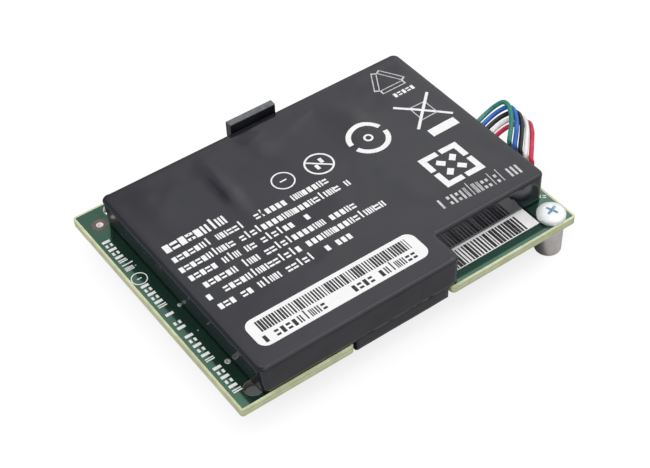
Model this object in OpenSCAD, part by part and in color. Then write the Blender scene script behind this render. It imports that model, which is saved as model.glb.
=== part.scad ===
// Battery backup module for a storage controller: a green circuit board that carries a
// film-wrapped lithium-ion pack on its top and the charging circuit on its underside.
// All sizes are in millimetres. The origin is the middle of the standoff's foot, +X runs
// along the long side of the board, +Y towards its back edge and +Z up.

/* [Battery cell] */
// Length of the cell's can
cell_l = 56.6; // [50:0.2:64]
// Width of the cell's can
cell_w = 41; // [36:0.5:46]
// Thickness of the cell's can
cell_t = 5; // [4:0.1:7]
// Play left around the cell in its bay
cell_play = 0.15; // [0.1:0.05:0.3]
// Thickness of the adhesive pad under the cell
pad_t = 0.2; // [0.1:0.05:0.5]
// Thickness of the insulating sheet over the cell
sheet_t = 0.15; // [0.1:0.05:0.3]

/* [Battery carrier] */
// Thickness of the carrier's walls
wall_t = 0.9; // [0.7:0.05:1.1]
// Thickness of the carrier's floor
floor_t = 0.5; // [0.4:0.05:1]
// Height of the feet that keep the carrier off the board
foot_h = 0.2; // [0.15:0.05:0.5]
// Length of the hook block in front of the cell
block_l = 40.4; // [36:0.2:44]
// Width of the hook block, from the front wall to the recessed wall
block_w = 6.7; // [5.7:0.1:8]
// Number of hollows under the hook block
block_cells = 6; // [4:1:7]
// Radius of the pack's upright corners
corner_r = 1.4; // [1.1:0.1:2]
// Length of the bay behind the protection board
bay_l = 4.35; // [4.35:0.05:6]

/* [Film wrap] */
// Thickness of the printed film
film_t = 0.2; // [0.1:0.05:0.25]
// Radius where the film folds over the pack's top edges
fold_r = 0.8; // [0.5:0.1:1]
// Gap between the film and what it covers
film_play = 0.03; // [0.02:0.01:0.06]

/* [Front hook and rear latch] */
// Width of the front hook
hook_w = 19.8; // [14:0.2:20]
// Distance from the pack's left side to the front hook
hook_x = 18.6; // [17:0.1:19.4]
// Depth that the hook and the latch reach under the board
lip_reach = 0.9; // [0.6:0.1:1.2]
// Thickness of the lips under the board
lip_t = 0.8; // [0.6:0.1:1.2]
// Gap between the lips and the underside of the board
lip_play = 0.1; // [0.05:0.05:0.2]
// Width of the rear latch finger
latch_w = 10; // [6:0.5:14]
// Thickness of the rear latch finger
latch_t = 1.65; // [1.2:0.05:2]
// Distance from the pack's left side to the middle of the latch
latch_x = 32.6; // [24:0.1:44]
// Height of the latch above the pack's top
latch_rise = 1.6; // [1:0.1:2.5]
// Gap between the film and the latch finger
latch_gap = 0.15; // [0.1:0.05:0.4]

/* [Circuit board] */
// Thickness of the board
board_t = 1.6; // [1.2:0.1:2]
// Radius of the board's corners
board_r = 0.6; // [0.3:0.1:1.5]
// Board showing to the left of the pack
margin_left = 4.6; // [4:0.1:8]
// Board showing to the right of the pack
margin_right = 1.5; // [1:0.1:6]
// Board showing in front of the pack
margin_front = 0.4; // [0.3:0.05:1]
// Board showing behind the pack
margin_back = 4.4; // [3.8:0.1:9]
// Gap between the board's notches and what passes through them
notch_play = 0.6; // [0.3:0.1:0.7]
// Radius at the mouth of the notches
notch_r = 0.8; // [0.4:0.1:1]

/* [Mounting] */
// Diameter of the mounting holes
hole_d = 3.4; // [3.2:0.1:3.6]
// Distance from the left edge to the front-left hole
hole_left = 4.2; // [2.5:0.1:5]
// Distance from the front edge to both front holes
hole_front = 2.8; // [2.8:0.1:3.4]
// Distance from the left edge to the back-left hole
hole_back_x = 7; // [4:0.1:12]
// Distance from the back edge to the back-left hole
hole_back = 2.4; // [2.2:0.1:3.5]
// Distance from the right edge to the standoff
standoff_inset = 3.5; // [3:0.1:5]
// Diameter of the locating hole
locating_d = 1.1; // [0.9:0.1:1.5]
// Length of the standoff
standoff_h = 6.35; // [6.35:0.05:9]
// Diameter of the standoff
standoff_d = 5; // [4.4:0.1:5.4]
// Core diameter of the standoff's threaded holes
thread_d = 2.5; // [2.4:0.05:2.6]
// Depth of each threaded hole in the standoff
thread_l = 2.9; // [2.6:0.05:3]
// Diameter of the screw's head
head_d = 5.4; // [4.6:0.1:5.5]
// Height of the screw's head
head_h = 1.9; // [1.4:0.1:2.4]
// Length of the screw under its head
screw_l = 4; // [3.2:0.1:4.2]

/* [Leads and their connector] */
// Diameter of a lead over its insulation
lead_d = 0.9; // [0.7:0.05:0.95]
// How far the middle of the outermost lead stands out from the film
lead_reach = 8.7; // [8.4:0.1:10]
// Height of the leads' top bend over the board
lead_rise = 7.4; // [7.2:0.1:8.4]
// Distance between leads where they leave the pack
exit_pitch = 1.3; // [1.25:0.05:1.35]
// Distance between the contacts of the connector
contact_pitch = 1.5; // [1.45:0.05:1.6]
// Height of the socket on the board
socket_h = 3; // [2.6:0.05:3]
// Depth of the socket from its back to its mouth
socket_l = 3.6; // [3:0.1:3.7]
// Wall of the socket
socket_wall = 0.4; // [0.3:0.05:0.5]
// Length of the plug
plug_l = 4.4; // [4.2:0.1:4.8]

/* [Protection board] */
// Thickness of the protection board
guard_t = 0.6; // [0.4:0.05:0.7]
// Length of the protection board
guard_l = 34; // [30:0.5:36]
// Gap between the cell's end and the protection board
guard_gap = 2; // [1.8:0.1:3]
// Thickness of the nickel strips
strip_t = 0.15; // [0.1:0.05:0.2]
// Width of the nickel strips
strip_w = 2.6; // [2:0.1:3.2]

/* [Labels] */
// Length of the label on the pack
pack_label_l = 34.8; // [24:0.2:36]
// Width of the label on the pack
pack_label_w = 6.4; // [5:0.1:8]
// Radius of the pack label's corners
pack_label_r = 1.8; // [1:0.1:2.4]
// Length of the label on the board
board_label_l = 19.4; // [14:0.2:19.6]
// Thickness of both labels
label_t = 0.1; // [0.05:0.01:0.12]

/* [Underside parts] */
// Pins in each row of the pin header
header_n = 10; // [6:1:11]
// Distance between the header's pins
header_pitch = 2; // [2:0.27:2.54]
// Side of each square header pin
pin_s = 0.5; // [0.4:0.05:0.6]
// Height of the header's base
header_base_h = 2; // [1.5:0.1:2.5]
// Length of the pins below the header's base
header_pin_l = 4; // [3:0.1:4.2]
// Side of the power inductor
coil_s = 6.2; // [5:0.1:7]
// Height of the power inductor
coil_h = 3; // [2:0.1:4]
// Side of the charger chip
charger_s = 5; // [4:0.5:6]
// Length of the gauge chip
gauge_l = 6.5; // [6.3:0.1:7]
// Leads along each side of the gauge chip
gauge_n = 10; // [8:1:10]

/* [Hidden] */

$fn = 48;
eps = 0.01;
hull_fn = 32;

// Pack, measured from the board's front-left corner and from the board's top face
pack_x0 = margin_left;
pack_y0 = margin_front;
skin = film_t + film_play;
cell_x0 = pack_x0 + skin + wall_t + cell_play;
cell_x1 = cell_x0 + cell_l;
recess_y = pack_y0 + block_w;
cell_y0 = recess_y + skin + wall_t + cell_play;
cell_y1 = cell_y0 + cell_w;
cell_z0 = foot_h + floor_t + pad_t;
cell_z1 = cell_z0 + cell_t;
guard_x0 = cell_x1 + guard_gap;
guard_x1 = guard_x0 + guard_t;
bay_x1 = guard_x1 + bay_l;
tray_x0 = pack_x0 + skin;
tray_x1 = bay_x1 + wall_t;
tray_y0 = pack_y0 + skin;
tray_y1 = cell_y1 + cell_play + wall_t;
pack_x1 = tray_x1 + skin;
pack_y1 = tray_y1 + skin;
block_x1 = tray_x0 + block_l;
film_top = cell_z1 + sheet_t + film_t;
film_in = film_top - film_t;
tray_top = film_top - fold_r;
tray_r = corner_r - skin;

// Board
board_w = pack_x1 + margin_right;
board_d = pack_y1 + margin_back;
screw_x = board_w - standoff_inset;
screw_y = hole_front;
board_z = standoff_h + board_t;
via_d = 0.4;
via_left = 3.95;
via_front = 9.95;

// X, Y and diameter of every hole through the board
board_holes = [
    [hole_left, hole_front, hole_d],
    [hole_back_x, board_d - hole_back, hole_d],
    [screw_x, screw_y, hole_d],
    [3.1, board_d - 4.6, locating_d],
    [via_left, via_front, via_d]
];

// Hook, latch and the notches that they pass through
hook_x0 = pack_x0 + hook_x;
hook_x1 = hook_x0 + hook_w;
lip_z1 = -board_t - lip_play;
lip_z0 = lip_z1 - lip_t;
front_notch_y = tray_y0 + wall_t + notch_play / 2;
latch_x0 = pack_x0 + latch_x - latch_w / 2;
latch_x1 = latch_x0 + latch_w;
latch_y0 = pack_y1 + latch_gap;
latch_y1 = latch_y0 + latch_t;
rear_notch_y = latch_y0 - notch_play / 4;

// Connector for the leads
contacts = 5;
lead_z = 4.2;
exit_y = 26.4;
socket_play = 0.2;
pocket_wall = 0.4;
socket_y = 16.1;
socket_in_w = (contacts - 1) * contact_pitch + 2.2;
socket_w = socket_in_w + 2 * socket_wall;
socket_x1 = tray_x1 - 0.1;
socket_x0 = socket_x1 - socket_l;
tail_l = 0.5;
pocket_x0 = socket_x0 - tail_l - socket_play;
pocket_y0 = socket_y - socket_w / 2 - socket_play;
pocket_y1 = socket_y + socket_w / 2 + socket_play;
pocket_top = socket_h + socket_play;
plug_fit = 0.05;
plug_w = socket_in_w - 2 * plug_fit;
plug_h = socket_h - 2 * socket_wall - 2 * plug_fit;
plug_x0 = socket_x0 + socket_wall + 0.3;
plug_x1 = plug_x0 + plug_l;
contact_z = socket_h / 2;
post_s = 0.4;
post_hole_l = 1.6;
entry_d = lead_d + 0.12;
entry_l = 2;

// Routes of the first and the last lead: X past the pack's side as a share of lead_reach, how far
// along the way from its exit (0) to its contact in the plug (1) the lead is in Y, and Z above
// the board as a share of lead_rise. The leads between them fan out from the one to the other.
first_route = [
    [0.18, -0.06, 0.588], [0.534, -0.14, 0.649], [0.685, -0.07, 0.784], [0.751, 0.06, 0.919],
    [0.699, 0.31, 1], [0.587, 0.54, 1], [0.508, 0.68, 0.946], [0.413, 0.82, 0.838],
    [0.308, 0.93, 0.716], [0.202, 1.04, 0.568]
];
last_route = [
    [0.201, -0.08, 0.568], [0.508, -0.14, 0.554], [0.798, -0.12, 0.514], [0.949, -0.06, 0.514],
    [1, 0.05, 0.527], [0.89, 0.24, 0.541], [0.77, 0.4, 0.595], [0.634, 0.55, 0.581],
    [0.454, 0.76, 0.554], [0.253, 0.98, 0.5]
];
// How the fan opens: over 1, it opens wider towards the last lead
fan_ease = 1.14;
// Bend into the plug: X past its end and Z above its contacts
plug_bend = [[1.37, 1.25], [1.07, 0.15]];
lead_sides = 8;

// Protection board and its strips
guard_y0 = cell_y0 + 3.6;
guard_y1 = guard_y0 + guard_l;
guard_z0 = foot_h + floor_t + 0.25;
guard_z1 = film_in - 0.5;
guard_zc = (guard_z0 + guard_z1) / 2;
// Start in Y, width and thickness of each chip on the protection board
guard_chip_w = 3.2;
guard_chip_pitch = 4.6;
guard_chip_y = exit_y + 3;
guard_chips = [
    [guard_chip_y, 3, 1.1],
    [guard_chip_y + guard_chip_pitch, 3, 1.1],
    [guard_chip_y + 2 * guard_chip_pitch, 1.7, 1]
];
guard_part_y = guard_chip_y + 2.5 * guard_chip_pitch;
guard_part_pitch = 1.5;
terminal_h = 0.5;
terminal_l = 6;
terminal_w = 2.2;
cell_yc = (cell_y0 + cell_y1) / 2;
cell_zc = (cell_z0 + cell_z1) / 2;
fuse_l = 6.4;
fuse_t = 1;
fuse_y1 = cell_yc - 5.5;
fuse_y0 = fuse_y1 - fuse_l;
fuse_x0 = cell_x1 + 0.1;
strip_x = cell_x1 + terminal_h;

// Labels
board_label_x1 = board_w - 6.4;
board_label_y0 = 2.65;
pack_label_x0 = pack_x0 + 2.7;
pack_label_y0 = pack_y0 + 3.6;

// Underside
under = -board_t;
header_x = 25;
header_y = board_d / 2 + 10.5;
chip_gap = 0.1;
charger_at = [47, 30];
charger_t = 0.9;
coil_at = [55, 40];
gauge_at = [46, 18];
memory_at = [12, 24];
diode_at = [64, 31];
switch_at = [[61, 13], [61, 22]];

// Length, width and height of the packages with bent leads
gauge_w = 4.4;
gauge_t = 1.1;
gauge_size = [gauge_l, gauge_w, gauge_t];
small_size = [4.9, 3.9, 1.5];
diode_size = [4.3, 2.6, 2.2];

// Pitch of the bent leads, and the width, reach and thickness of each
small_pitch = 1.27;
gauge_pitch = 0.65;
gauge_wing_w = 0.25;
gauge_wing_l = 1;
gauge_wing_t = 0.12;
small_wing_w = 0.4;
small_wing_l = 1.05;
small_wing_t = 0.18;

// Length, width, height and end of the parts with two metal ends, and where they stand
bulk_size = [3.2, 2.5, 1.6, 0.5];
bulk_at = [[46, 38], [46, 42], [64, 38], [64, 42]];
cap_size = [1.6, 0.8, 0.8, 0.3];
cap_pitch = 2.4;
cap_row = [34, 24.5];
cap_column = [38, 29];
cap_at = concat([for (i = [0 : 5]) cap_row + [i * cap_pitch, 0]],
                [for (i = [0 : 3]) cap_column + [0, i * cap_pitch]]);
resistor_size = [1.6, 0.8, 0.5, 0.3];
resistor_pitch = 2.2;
resistor_row = [33, 9.5];
resistor_group = [12, 12];
resistor_at = concat([for (i = [0 : 6]) resistor_row + [i * resistor_pitch, 0]],
                     [for (i = [0 : 4]) resistor_group + [i * resistor_pitch, 0]]);

// ---------------------------------------------------------------- shared shapes

// Places what is drawn from the board's front-left corner and top face
module on_board() {
    translate([-screw_x, -screw_y, board_z]) children();
}

// Flat rectangle between two corners, with round corners
module round_rect(x0, y0, x1, y1, r) {
    translate([x0 + r, y0]) square([x1 - x0 - 2 * r, y1 - y0]);
    translate([x0, y0 + r]) square([x1 - x0, y1 - y0 - 2 * r]);
    for (x = [x0 + r, x1 - r], y = [y0 + r, y1 - r]) translate([x, y]) circle(r);
}

// Block between two corners
module block(x0, y0, z0, x1, y1, z1) {
    translate([x0, y0, z0]) cube([x1 - x0, y1 - y0, z1 - z0]);
}

// Outline drawn in Y and Z, made solid from x0 to x1
module along_x(x0, x1) {
    translate([x0, 0, 0]) rotate([90, 0, 90]) linear_extrude(x1 - x0) children();
}

// Part with two metal ends, of a length, width, height and end: its body
module chip_body(size) {
    translate([-size[0] / 2 + size[3], -size[1] / 2, -size[2]])
        cube([size[0] - 2 * size[3], size[1], size[2] - 0.03]);
}

// The same part's two metal ends
module chip_ends(size) {
    for (x = [-size[0] / 2, size[0] / 2 - size[3]])
        translate([x, -size[1] / 2, -size[2]]) cube([size[3], size[1], size[2]]);
}

// One bent lead that leaves a package at +Y, hanging under the board
module wing_lead(w, reach, h, t) {
    translate([-w / 2, 0, -h / 2 - t / 2]) cube([w, reach * 0.45, t]);
    translate([-w / 2, reach * 0.45 - t, -h / 2 - t / 2]) cube([w, t, h / 2 + t / 2]);
    translate([-w / 2, reach * 0.45 - t, -t]) cube([w, reach * 0.55 + t, t]);
}

// Row of bent leads along both long sides of a package
module wing_rows(n, pitch, half_w, w, reach, h, t) {
    for (side = [0, 180], i = [0 : n - 1])
        rotate([0, 0, side]) translate([(i - (n - 1) / 2) * pitch, half_w, 0]) wing_lead(w, reach, h, t);
}

// ---------------------------------------------------------------- circuit board

// Rounded mouth of a notch that opens at y = edge, where inward is +1 or -1
module notch_mouth(x0, x1, edge, inward) {
    for (x = [[x0, -1], [x1, 1]]) difference() {
        translate([min(x[0], x[0] + x[1] * notch_r), min(edge, edge + inward * notch_r)])
            square(notch_r);
        translate([x[0] + x[1] * notch_r, edge + inward * notch_r]) circle(notch_r);
    }
}

module board_outline() {
    difference() {
        round_rect(0, 0, board_w, board_d, board_r);
        translate([hook_x0 - notch_play, -1]) square([hook_w + 2 * notch_play, front_notch_y + 1]);
        notch_mouth(hook_x0 - notch_play, hook_x1 + notch_play, 0, 1);
        translate([latch_x0 - notch_play, rear_notch_y])
            square([latch_w + 2 * notch_play, board_d - rear_notch_y + 1]);
        notch_mouth(latch_x0 - notch_play, latch_x1 + notch_play, board_d, -1);
    }
}

module main_board() color("#1f6b4f") on_board() difference() {
    translate([0, 0, -board_t]) linear_extrude(board_t) board_outline();
    for (hole = board_holes)
        translate([hole[0], hole[1], -board_t - 1]) cylinder(d = hole[2], h = board_t + 2);
}

// ---------------------------------------------------------------- battery carrier

module tray_outline() {
    round_rect(tray_x0, recess_y + skin, tray_x1, tray_y1, tray_r);
    round_rect(tray_x0, tray_y0, block_x1, recess_y + 6, tray_r);
}

// Side view of the front hook: the wall runs down through the notch and turns under the board
module hook_profile() {
    y1 = front_notch_y + lip_reach;
    polygon([
        [tray_y0, foot_h + eps], [tray_y0, lip_z0 + 0.2], [tray_y0 + 0.2, lip_z0],
        [y1 - 0.5, lip_z0], [y1, lip_z0 + 0.4], [y1, lip_z1],
        [tray_y0 + wall_t, lip_z1], [tray_y0 + wall_t, foot_h + eps]
    ]);
}

// Side view of the rear latch: a finger with a thumb rest above and a barb below
module latch_profile() {
    top = film_top + latch_rise;
    barb_y = rear_notch_y - lip_reach;
    polygon([
        [latch_y0, lip_z1], [latch_y0, top - 0.15], [latch_y0 + 0.15, top],
        [latch_y1 - 0.3, top], [latch_y1, top - 0.3], [latch_y1, lip_z0 + 0.3],
        [latch_y1 - 0.3, lip_z0], [barb_y + 0.6, lip_z0], [barb_y, lip_z0 + 0.5],
        [barb_y, lip_z1]
    ]);
}

// Webs that the latch bends on, from the tray's back wall to the finger
module latch_webs() {
    for (s = [-1, 1]) translate([pack_x0 + latch_x + s * latch_w * 0.35 - 0.8, tray_y1 - eps, 2])
        cube([1.6, latch_y0 - tray_y1 + 2 * eps, 1.4]);
}

// Hollows moulded into the hook block from below, with a rib between each two
module block_hollows() {
    x0 = tray_x0 + wall_t;
    x1 = block_x1 - wall_t;
    step = (x1 - x0 + wall_t) / block_cells;
    for (i = [0 : block_cells - 1])
        block(x0 + i * step, tray_y0 + wall_t, -1, x0 + (i + 1) * step - wall_t, recess_y + skin,
              tray_top - wall_t);
}

// Slots in the right wall that hold the leads apart
module lead_comb() {
    slot = lead_d + 0.1;
    for (i = [0 : contacts - 1])
        translate([bay_x1 - 0.1, exit_y - i * exit_pitch - slot / 2, lead_z - slot / 2])
            cube([wall_t + 0.2, slot, film_top]);
}

// Posts that keep the protection board upright and the cell in its place
module bay_posts() {
    post_top = guard_z1 - 1;
    for (y = [guard_y0 - 0.9, guard_y1 + 0.1]) difference() {
        block(guard_x0 - 0.7, y, foot_h, guard_x1 + 0.7, y + 0.8, post_top);
        block(guard_x0 - 0.1, guard_y0 - 0.1, foot_h + floor_t, guard_x1 + 0.1, guard_y1 + 0.1, film_top);
    }
    for (y = [cell_y0, cell_y1 - 2.5])
        block(cell_x1 + cell_play, y, foot_h, cell_x1 + cell_play + 0.8, y + 2.5, cell_zc);
}

module carrier_feet() {
    for (x = [tray_x0 + 3, tray_x1 - 7], y = [recess_y + 5, tray_y1 - 3])
        translate([x, y, 0]) cylinder(d = 3, h = foot_h + eps);
}

module battery_carrier() color("#1b1b1e") on_board() {
    difference() {
        union() {
            translate([0, 0, foot_h]) linear_extrude(tray_top - foot_h) tray_outline();
            // flat land under the label, up to the inside of the film
            block(tray_x0 + fold_r, tray_y0 + fold_r, tray_top - eps, block_x1 - fold_r,
                  recess_y + skin + wall_t, film_in);
            along_x(hook_x0, hook_x1) hook_profile();
            along_x(latch_x0, latch_x1) latch_profile();
            latch_webs();
            carrier_feet();
        }
        // bay for the cell and the protection board, open at the top
        difference() {
            block(cell_x0 - cell_play, cell_y0 - cell_play, foot_h + floor_t, bay_x1,
                  cell_y1 + cell_play, film_top);
            bay_posts();
            block(pocket_x0 - pocket_wall, pocket_y0 - pocket_wall, 0, tray_x1,
                  pocket_y1 + pocket_wall, pocket_top + pocket_wall);
        }
        block_hollows();
        block(pocket_x0, pocket_y0, -1, tray_x1 + 1, pocket_y1, pocket_top);
        lead_comb();
    }
}

// ---------------------------------------------------------------- film wrap

// Upright corner with a rounded top edge
module corner_post(r, edge, h) {
    rotate_extrude($fn = hull_fn) {
        square([r, h - edge]);
        square([r - edge, h]);
        intersection() {
            translate([r - edge, h - edge]) circle(edge, $fn = hull_fn);
            square([r, h]);
        }
    }
}

// Box with rounded upright corners and rounded top edges
module soft_box(x0, y0, z0, x1, y1, z1, r, edge) {
    hull() for (x = [x0 + r, x1 - r], y = [y0 + r, y1 - r])
        translate([x, y, z0]) corner_post(r, edge, z1 - z0);
}

// The pack's outer form, drawn in by a distance d
module pack_form(d, z0) {
    r = corner_r - d;
    edge = fold_r - d;
    soft_box(pack_x0 + d, recess_y + d, z0, pack_x1 - d, pack_y1 - d, film_top - d, r, edge);
    soft_box(pack_x0 + d, pack_y0 + d, z0, block_x1 + skin - d, recess_y + 8, film_top - d, r, edge);
}

// Openings in the film for the leads, their connector and the latch's webs
module film_windows() {
    block(pack_x1 - 1, exit_y - (contacts - 0.4) * exit_pitch, lead_z - lead_d, pack_x1 + 1,
          exit_y + 0.6 * exit_pitch, lead_z + lead_d);
    block(pack_x1 - 1, pocket_y0, -1, pack_x1 + 1, pocket_y1, pocket_top);
    block(latch_x0, pack_y1 - 1, -1, latch_x1, pack_y1 + 1, 4);
}

module film_wrap() color("#2a2a2e") on_board() {
    difference() {
        pack_form(0, foot_h + 0.05);
        pack_form(film_t, -1);
        film_windows();
    }
    // flap glued down the front of the hook
    block(hook_x0 + 0.1, pack_y0, lip_z0 + 0.25, hook_x1 - 0.1, pack_y0 + film_t, foot_h + 0.05 + eps);
}

// ---------------------------------------------------------------- cell and protection board

module battery_cell() color("#b9bcc0") on_board() {
    r = cell_t / 2 - 0.2;
    difference() {
        along_x(cell_x0, cell_x1) round_rect(cell_y0, cell_z0, cell_y1, cell_z1, r);
        // seam where the lid is welded in
        along_x(cell_x1 - 0.15, cell_x1 + 1) difference() {
            round_rect(cell_y0 + 0.35, cell_z0 + 0.35, cell_y1 - 0.35, cell_z1 - 0.35, r - 0.35);
            round_rect(cell_y0 + 0.5, cell_z0 + 0.5, cell_y1 - 0.5, cell_z1 - 0.5, r - 0.5);
        }
    }
}

module cell_terminal() color("#d5d5cf") on_board()
    along_x(cell_x1, cell_x1 + terminal_h)
        round_rect(cell_yc - terminal_l / 2, cell_zc - terminal_w / 2, cell_yc + terminal_l / 2,
                   cell_zc + terminal_w / 2, 0.5);

module cell_pad() color("#e8e4d8") on_board()
    block(cell_x0 + 3, cell_y0 + 3, cell_z0 - pad_t, cell_x1 - 3, cell_y1 - 3, cell_z0);

module insulating_sheet() color("#9aa08a") on_board()
    block(cell_x0 + 1, cell_y0 + 1, cell_z1, cell_x1 - 1, cell_y1 - 1, film_in);

module protection_board() color("#1f5a3c") on_board()
    block(guard_x0, guard_y0, guard_z0, guard_x1, guard_y1, guard_z1);

// The two power transistors and the protection chip, on the side away from the cell
module protection_chips() color("#202022") on_board()
    for (c = guard_chips)
        block(guard_x1, c[0], guard_zc - guard_chip_w / 2, guard_x1 + c[2], c[0] + c[1],
              guard_zc + guard_chip_w / 2);

module protection_parts() color("#b8a888") on_board()
    for (i = [0 : 2], s = [-1, 1]) {
        y = guard_part_y + i * guard_part_pitch;
        block(guard_x1, y, guard_zc + s * 1.1 - 0.5, guard_x1 + 0.5, y + 0.8, guard_zc + s * 1.1 + 0.5);
    }

module thermal_fuse() color("#c8c2a0") on_board()
    block(fuse_x0, fuse_y0, cell_zc - 1.2, fuse_x0 + fuse_t, fuse_y1, cell_zc + 1.2);

// Strip from the cell's terminal to the thermal fuse
module strip_terminal() color("#cfd0cc") on_board()
    block(strip_x, fuse_y1, cell_zc - terminal_w / 2, strip_x + strip_t, cell_yc + terminal_l / 3,
          cell_zc + terminal_w / 2);

// Strip from the thermal fuse to the protection board
module strip_fuse() color("#cfd0cc") on_board() {
    z0 = cell_zc - terminal_w / 2;
    translate([0, 0, z0]) linear_extrude(terminal_w) {
        translate([fuse_x0 + fuse_t - 0.4, fuse_y0 - strip_t])
            square([guard_x0 - fuse_x0 - fuse_t + 0.4, strip_t]);
        translate([guard_x0 - strip_t, fuse_y0 - strip_t]) square([strip_t, strip_w]);
    }
}

// Strip from the can to the protection board
module strip_can() color("#cfd0cc") on_board() {
    y = cell_yc + terminal_l / 2 + 2.5;
    translate([0, 0, cell_zc - terminal_w / 2]) linear_extrude(terminal_w) {
        translate([cell_x1, y]) square([strip_t, strip_w + strip_t]);
        translate([cell_x1, y + strip_w]) square([guard_gap, strip_t]);
        translate([guard_x0 - strip_t, y + strip_w]) square([strip_t, strip_w]);
    }
}

// ---------------------------------------------------------------- labels

module pack_label() color("white") on_board()
    translate([0, 0, film_top]) linear_extrude(label_t)
        round_rect(pack_label_x0, pack_label_y0, pack_label_x0 + pack_label_l,
                   pack_label_y0 + pack_label_w, pack_label_r);

module board_label() color("white") on_board()
    block(board_label_x1 - board_label_l, board_label_y0, 0, board_label_x1,
          recess_y + skin + wall_t, label_t);

// ---------------------------------------------------------------- leads

// Points of lead i, from the protection board to the bottom of the plug's entry
function lead_points(i) = let (
    y0 = exit_y - i * exit_pitch,
    y1 = socket_y + (2 - i) * contact_pitch,
    share = pow(i / (contacts - 1), fan_ease)
) concat(
    [[guard_x1, y0, lead_z], [pack_x1, y0, lead_z]],
    [for (k = [0 : len(first_route) - 1])
        let (p = first_route[k] + share * (last_route[k] - first_route[k]))
        [pack_x1 + p[0] * lead_reach, y0 + (y1 - y0) * p[1], p[2] * lead_rise]],
    [for (p = plug_bend) [plug_x1 + p[0], y1, contact_z + p[1]]],
    [[plug_x1, y1, contact_z], [plug_x1 - entry_l, y1, contact_z]]
);

function unit(v) = v / norm(v);

// Direction of the route at point k
function heading(p, k) = unit(p[min(k + 1, len(p) - 1)] - p[max(k - 1, 0)]);

// Ring of points round the route at point k
function ring(p, k, r, n) = let (
    t = heading(p, k),
    side = unit(cross(t, [0, 1, 0])),
    up = cross(side, t)
) [for (j = [0 : n - 1]) p[k] + r * (cos(360 * j / n) * side + sin(360 * j / n) * up)];

module tube(p, r, n) {
    rings = len(p);
    points = [for (k = [0 : rings - 1]) each ring(p, k, r, n)];
    sides = [for (k = [0 : rings - 2], j = [0 : n - 1])
        [k * n + j, k * n + (j + 1) % n, (k + 1) * n + (j + 1) % n, (k + 1) * n + j]];
    caps = [[for (j = [n - 1 : -1 : 0]) j], [for (j = [0 : n - 1]) (rings - 1) * n + j]];
    polyhedron(points, concat(sides, caps), convexity = 4);
}

module lead(i) on_board() tube(lead_points(i), lead_d / 2, lead_sides);

module lead_green() color("#2c8a5a") lead(0);
module lead_blue() color("#2d5fb8") lead(1);
module lead_black() color("#26262a") lead(2);
module lead_white() color("#f2f2ee") lead(3);
module lead_red() color("#c3263c") lead(4);

module lead_plug() color("#efece0") on_board() difference() {
    block(plug_x0, socket_y - plug_w / 2, contact_z - plug_h / 2, plug_x1, socket_y + plug_w / 2,
          contact_z + plug_h / 2);
    for (i = [0 : contacts - 1]) translate([0, socket_y + (2 - i) * contact_pitch, contact_z]) {
        translate([plug_x1 - entry_l, 0, 0]) rotate([0, 90, 0]) cylinder(d = entry_d, h = entry_l + 1);
        translate([plug_x0 - 1, -post_s / 2 - 0.05, -post_s / 2 - 0.05])
            cube([post_hole_l + 1, post_s + 0.1, post_s + 0.1]);
    }
}

module board_socket() color("#efece0") on_board() difference() {
    block(socket_x0, socket_y - socket_w / 2, 0, socket_x1, socket_y + socket_w / 2, socket_h);
    block(socket_x0 + socket_wall, socket_y - socket_in_w / 2, socket_wall, socket_x1 + 1,
          socket_y + socket_in_w / 2, socket_h - socket_wall);
    for (i = [0 : contacts - 1])
        translate([socket_x0 - 1, socket_y + (2 - i) * contact_pitch - post_s / 2,
                   contact_z - post_s / 2])
            cube([socket_wall + 2, post_s, post_s]);
}

module socket_pins() color("#d8d8d0") on_board()
    for (i = [0 : contacts - 1]) translate([0, socket_y + (2 - i) * contact_pitch, 0]) {
        block(socket_x0 - tail_l, -post_s / 2, contact_z - post_s / 2, plug_x0 + 1.4, post_s / 2,
              contact_z + post_s / 2);
        block(socket_x0 - tail_l, -post_s / 2, 0, socket_x0 - tail_l + 0.3, post_s / 2, contact_z);
    }

// ---------------------------------------------------------------- fasteners

module mounting_screw() color("#c9ced6") translate([0, 0, board_z]) difference() {
    union() {
        rotate_extrude() polygon(concat(
            [[0, 0], [head_d / 2 - 0.08, 0], [head_d / 2, 0.08], [head_d / 2, head_h * 0.42]],
            [for (a = [10 : 10 : 80])
                [head_d / 2 * pow(cos(a), 0.72), head_h * (0.42 + 0.58 * sin(a))]],
            [[0, head_h]]
        ));
        translate([0, 0, -screw_l]) cylinder(d = thread_d - 0.06, h = screw_l + eps);
    }
    // cross recess
    translate([0, 0, head_h - 1.2]) {
        cylinder(d1 = 1, d2 = 1.9, h = 1.3);
        for (a = [45, 135]) rotate([0, 0, a]) translate([-1.5, -0.3, 0.3]) cube([3, 0.6, 1.2]);
    }
}

module standoff() color("#a9a39c") difference() {
    rotate_extrude() polygon([
        [0, 0], [standoff_d / 2 - 0.2, 0], [standoff_d / 2, 0.2],
        [standoff_d / 2, standoff_h - 0.2], [standoff_d / 2 - 0.2, standoff_h], [0, standoff_h]
    ]);
    translate([0, 0, -1]) cylinder(d = thread_d, h = thread_l + 1);
    translate([0, 0, standoff_h - thread_l]) cylinder(d = thread_d, h = thread_l + 1);
}

// ---------------------------------------------------------------- pin header

module header_places() {
    first_y = header_y - (header_n - 1) / 2 * header_pitch;
    for (i = [0 : header_n - 1], s = [-1, 1])
        translate([header_x + s * header_pitch / 2, first_y + i * header_pitch, under])
            scale([s, 1, 1]) children();
}

module header_base() color("#1d1d1f") on_board() difference() {
    w = header_pitch * 2;
    l = header_pitch * header_n;
    block(header_x - w / 2, header_y - l / 2, under - header_base_h, header_x + w / 2,
          header_y + l / 2, under - 0.3);
    header_places() translate([-pin_s / 2, -pin_s / 2, -header_base_h - 1])
        cube([pin_s, pin_s, header_base_h + 2]);
}

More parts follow.
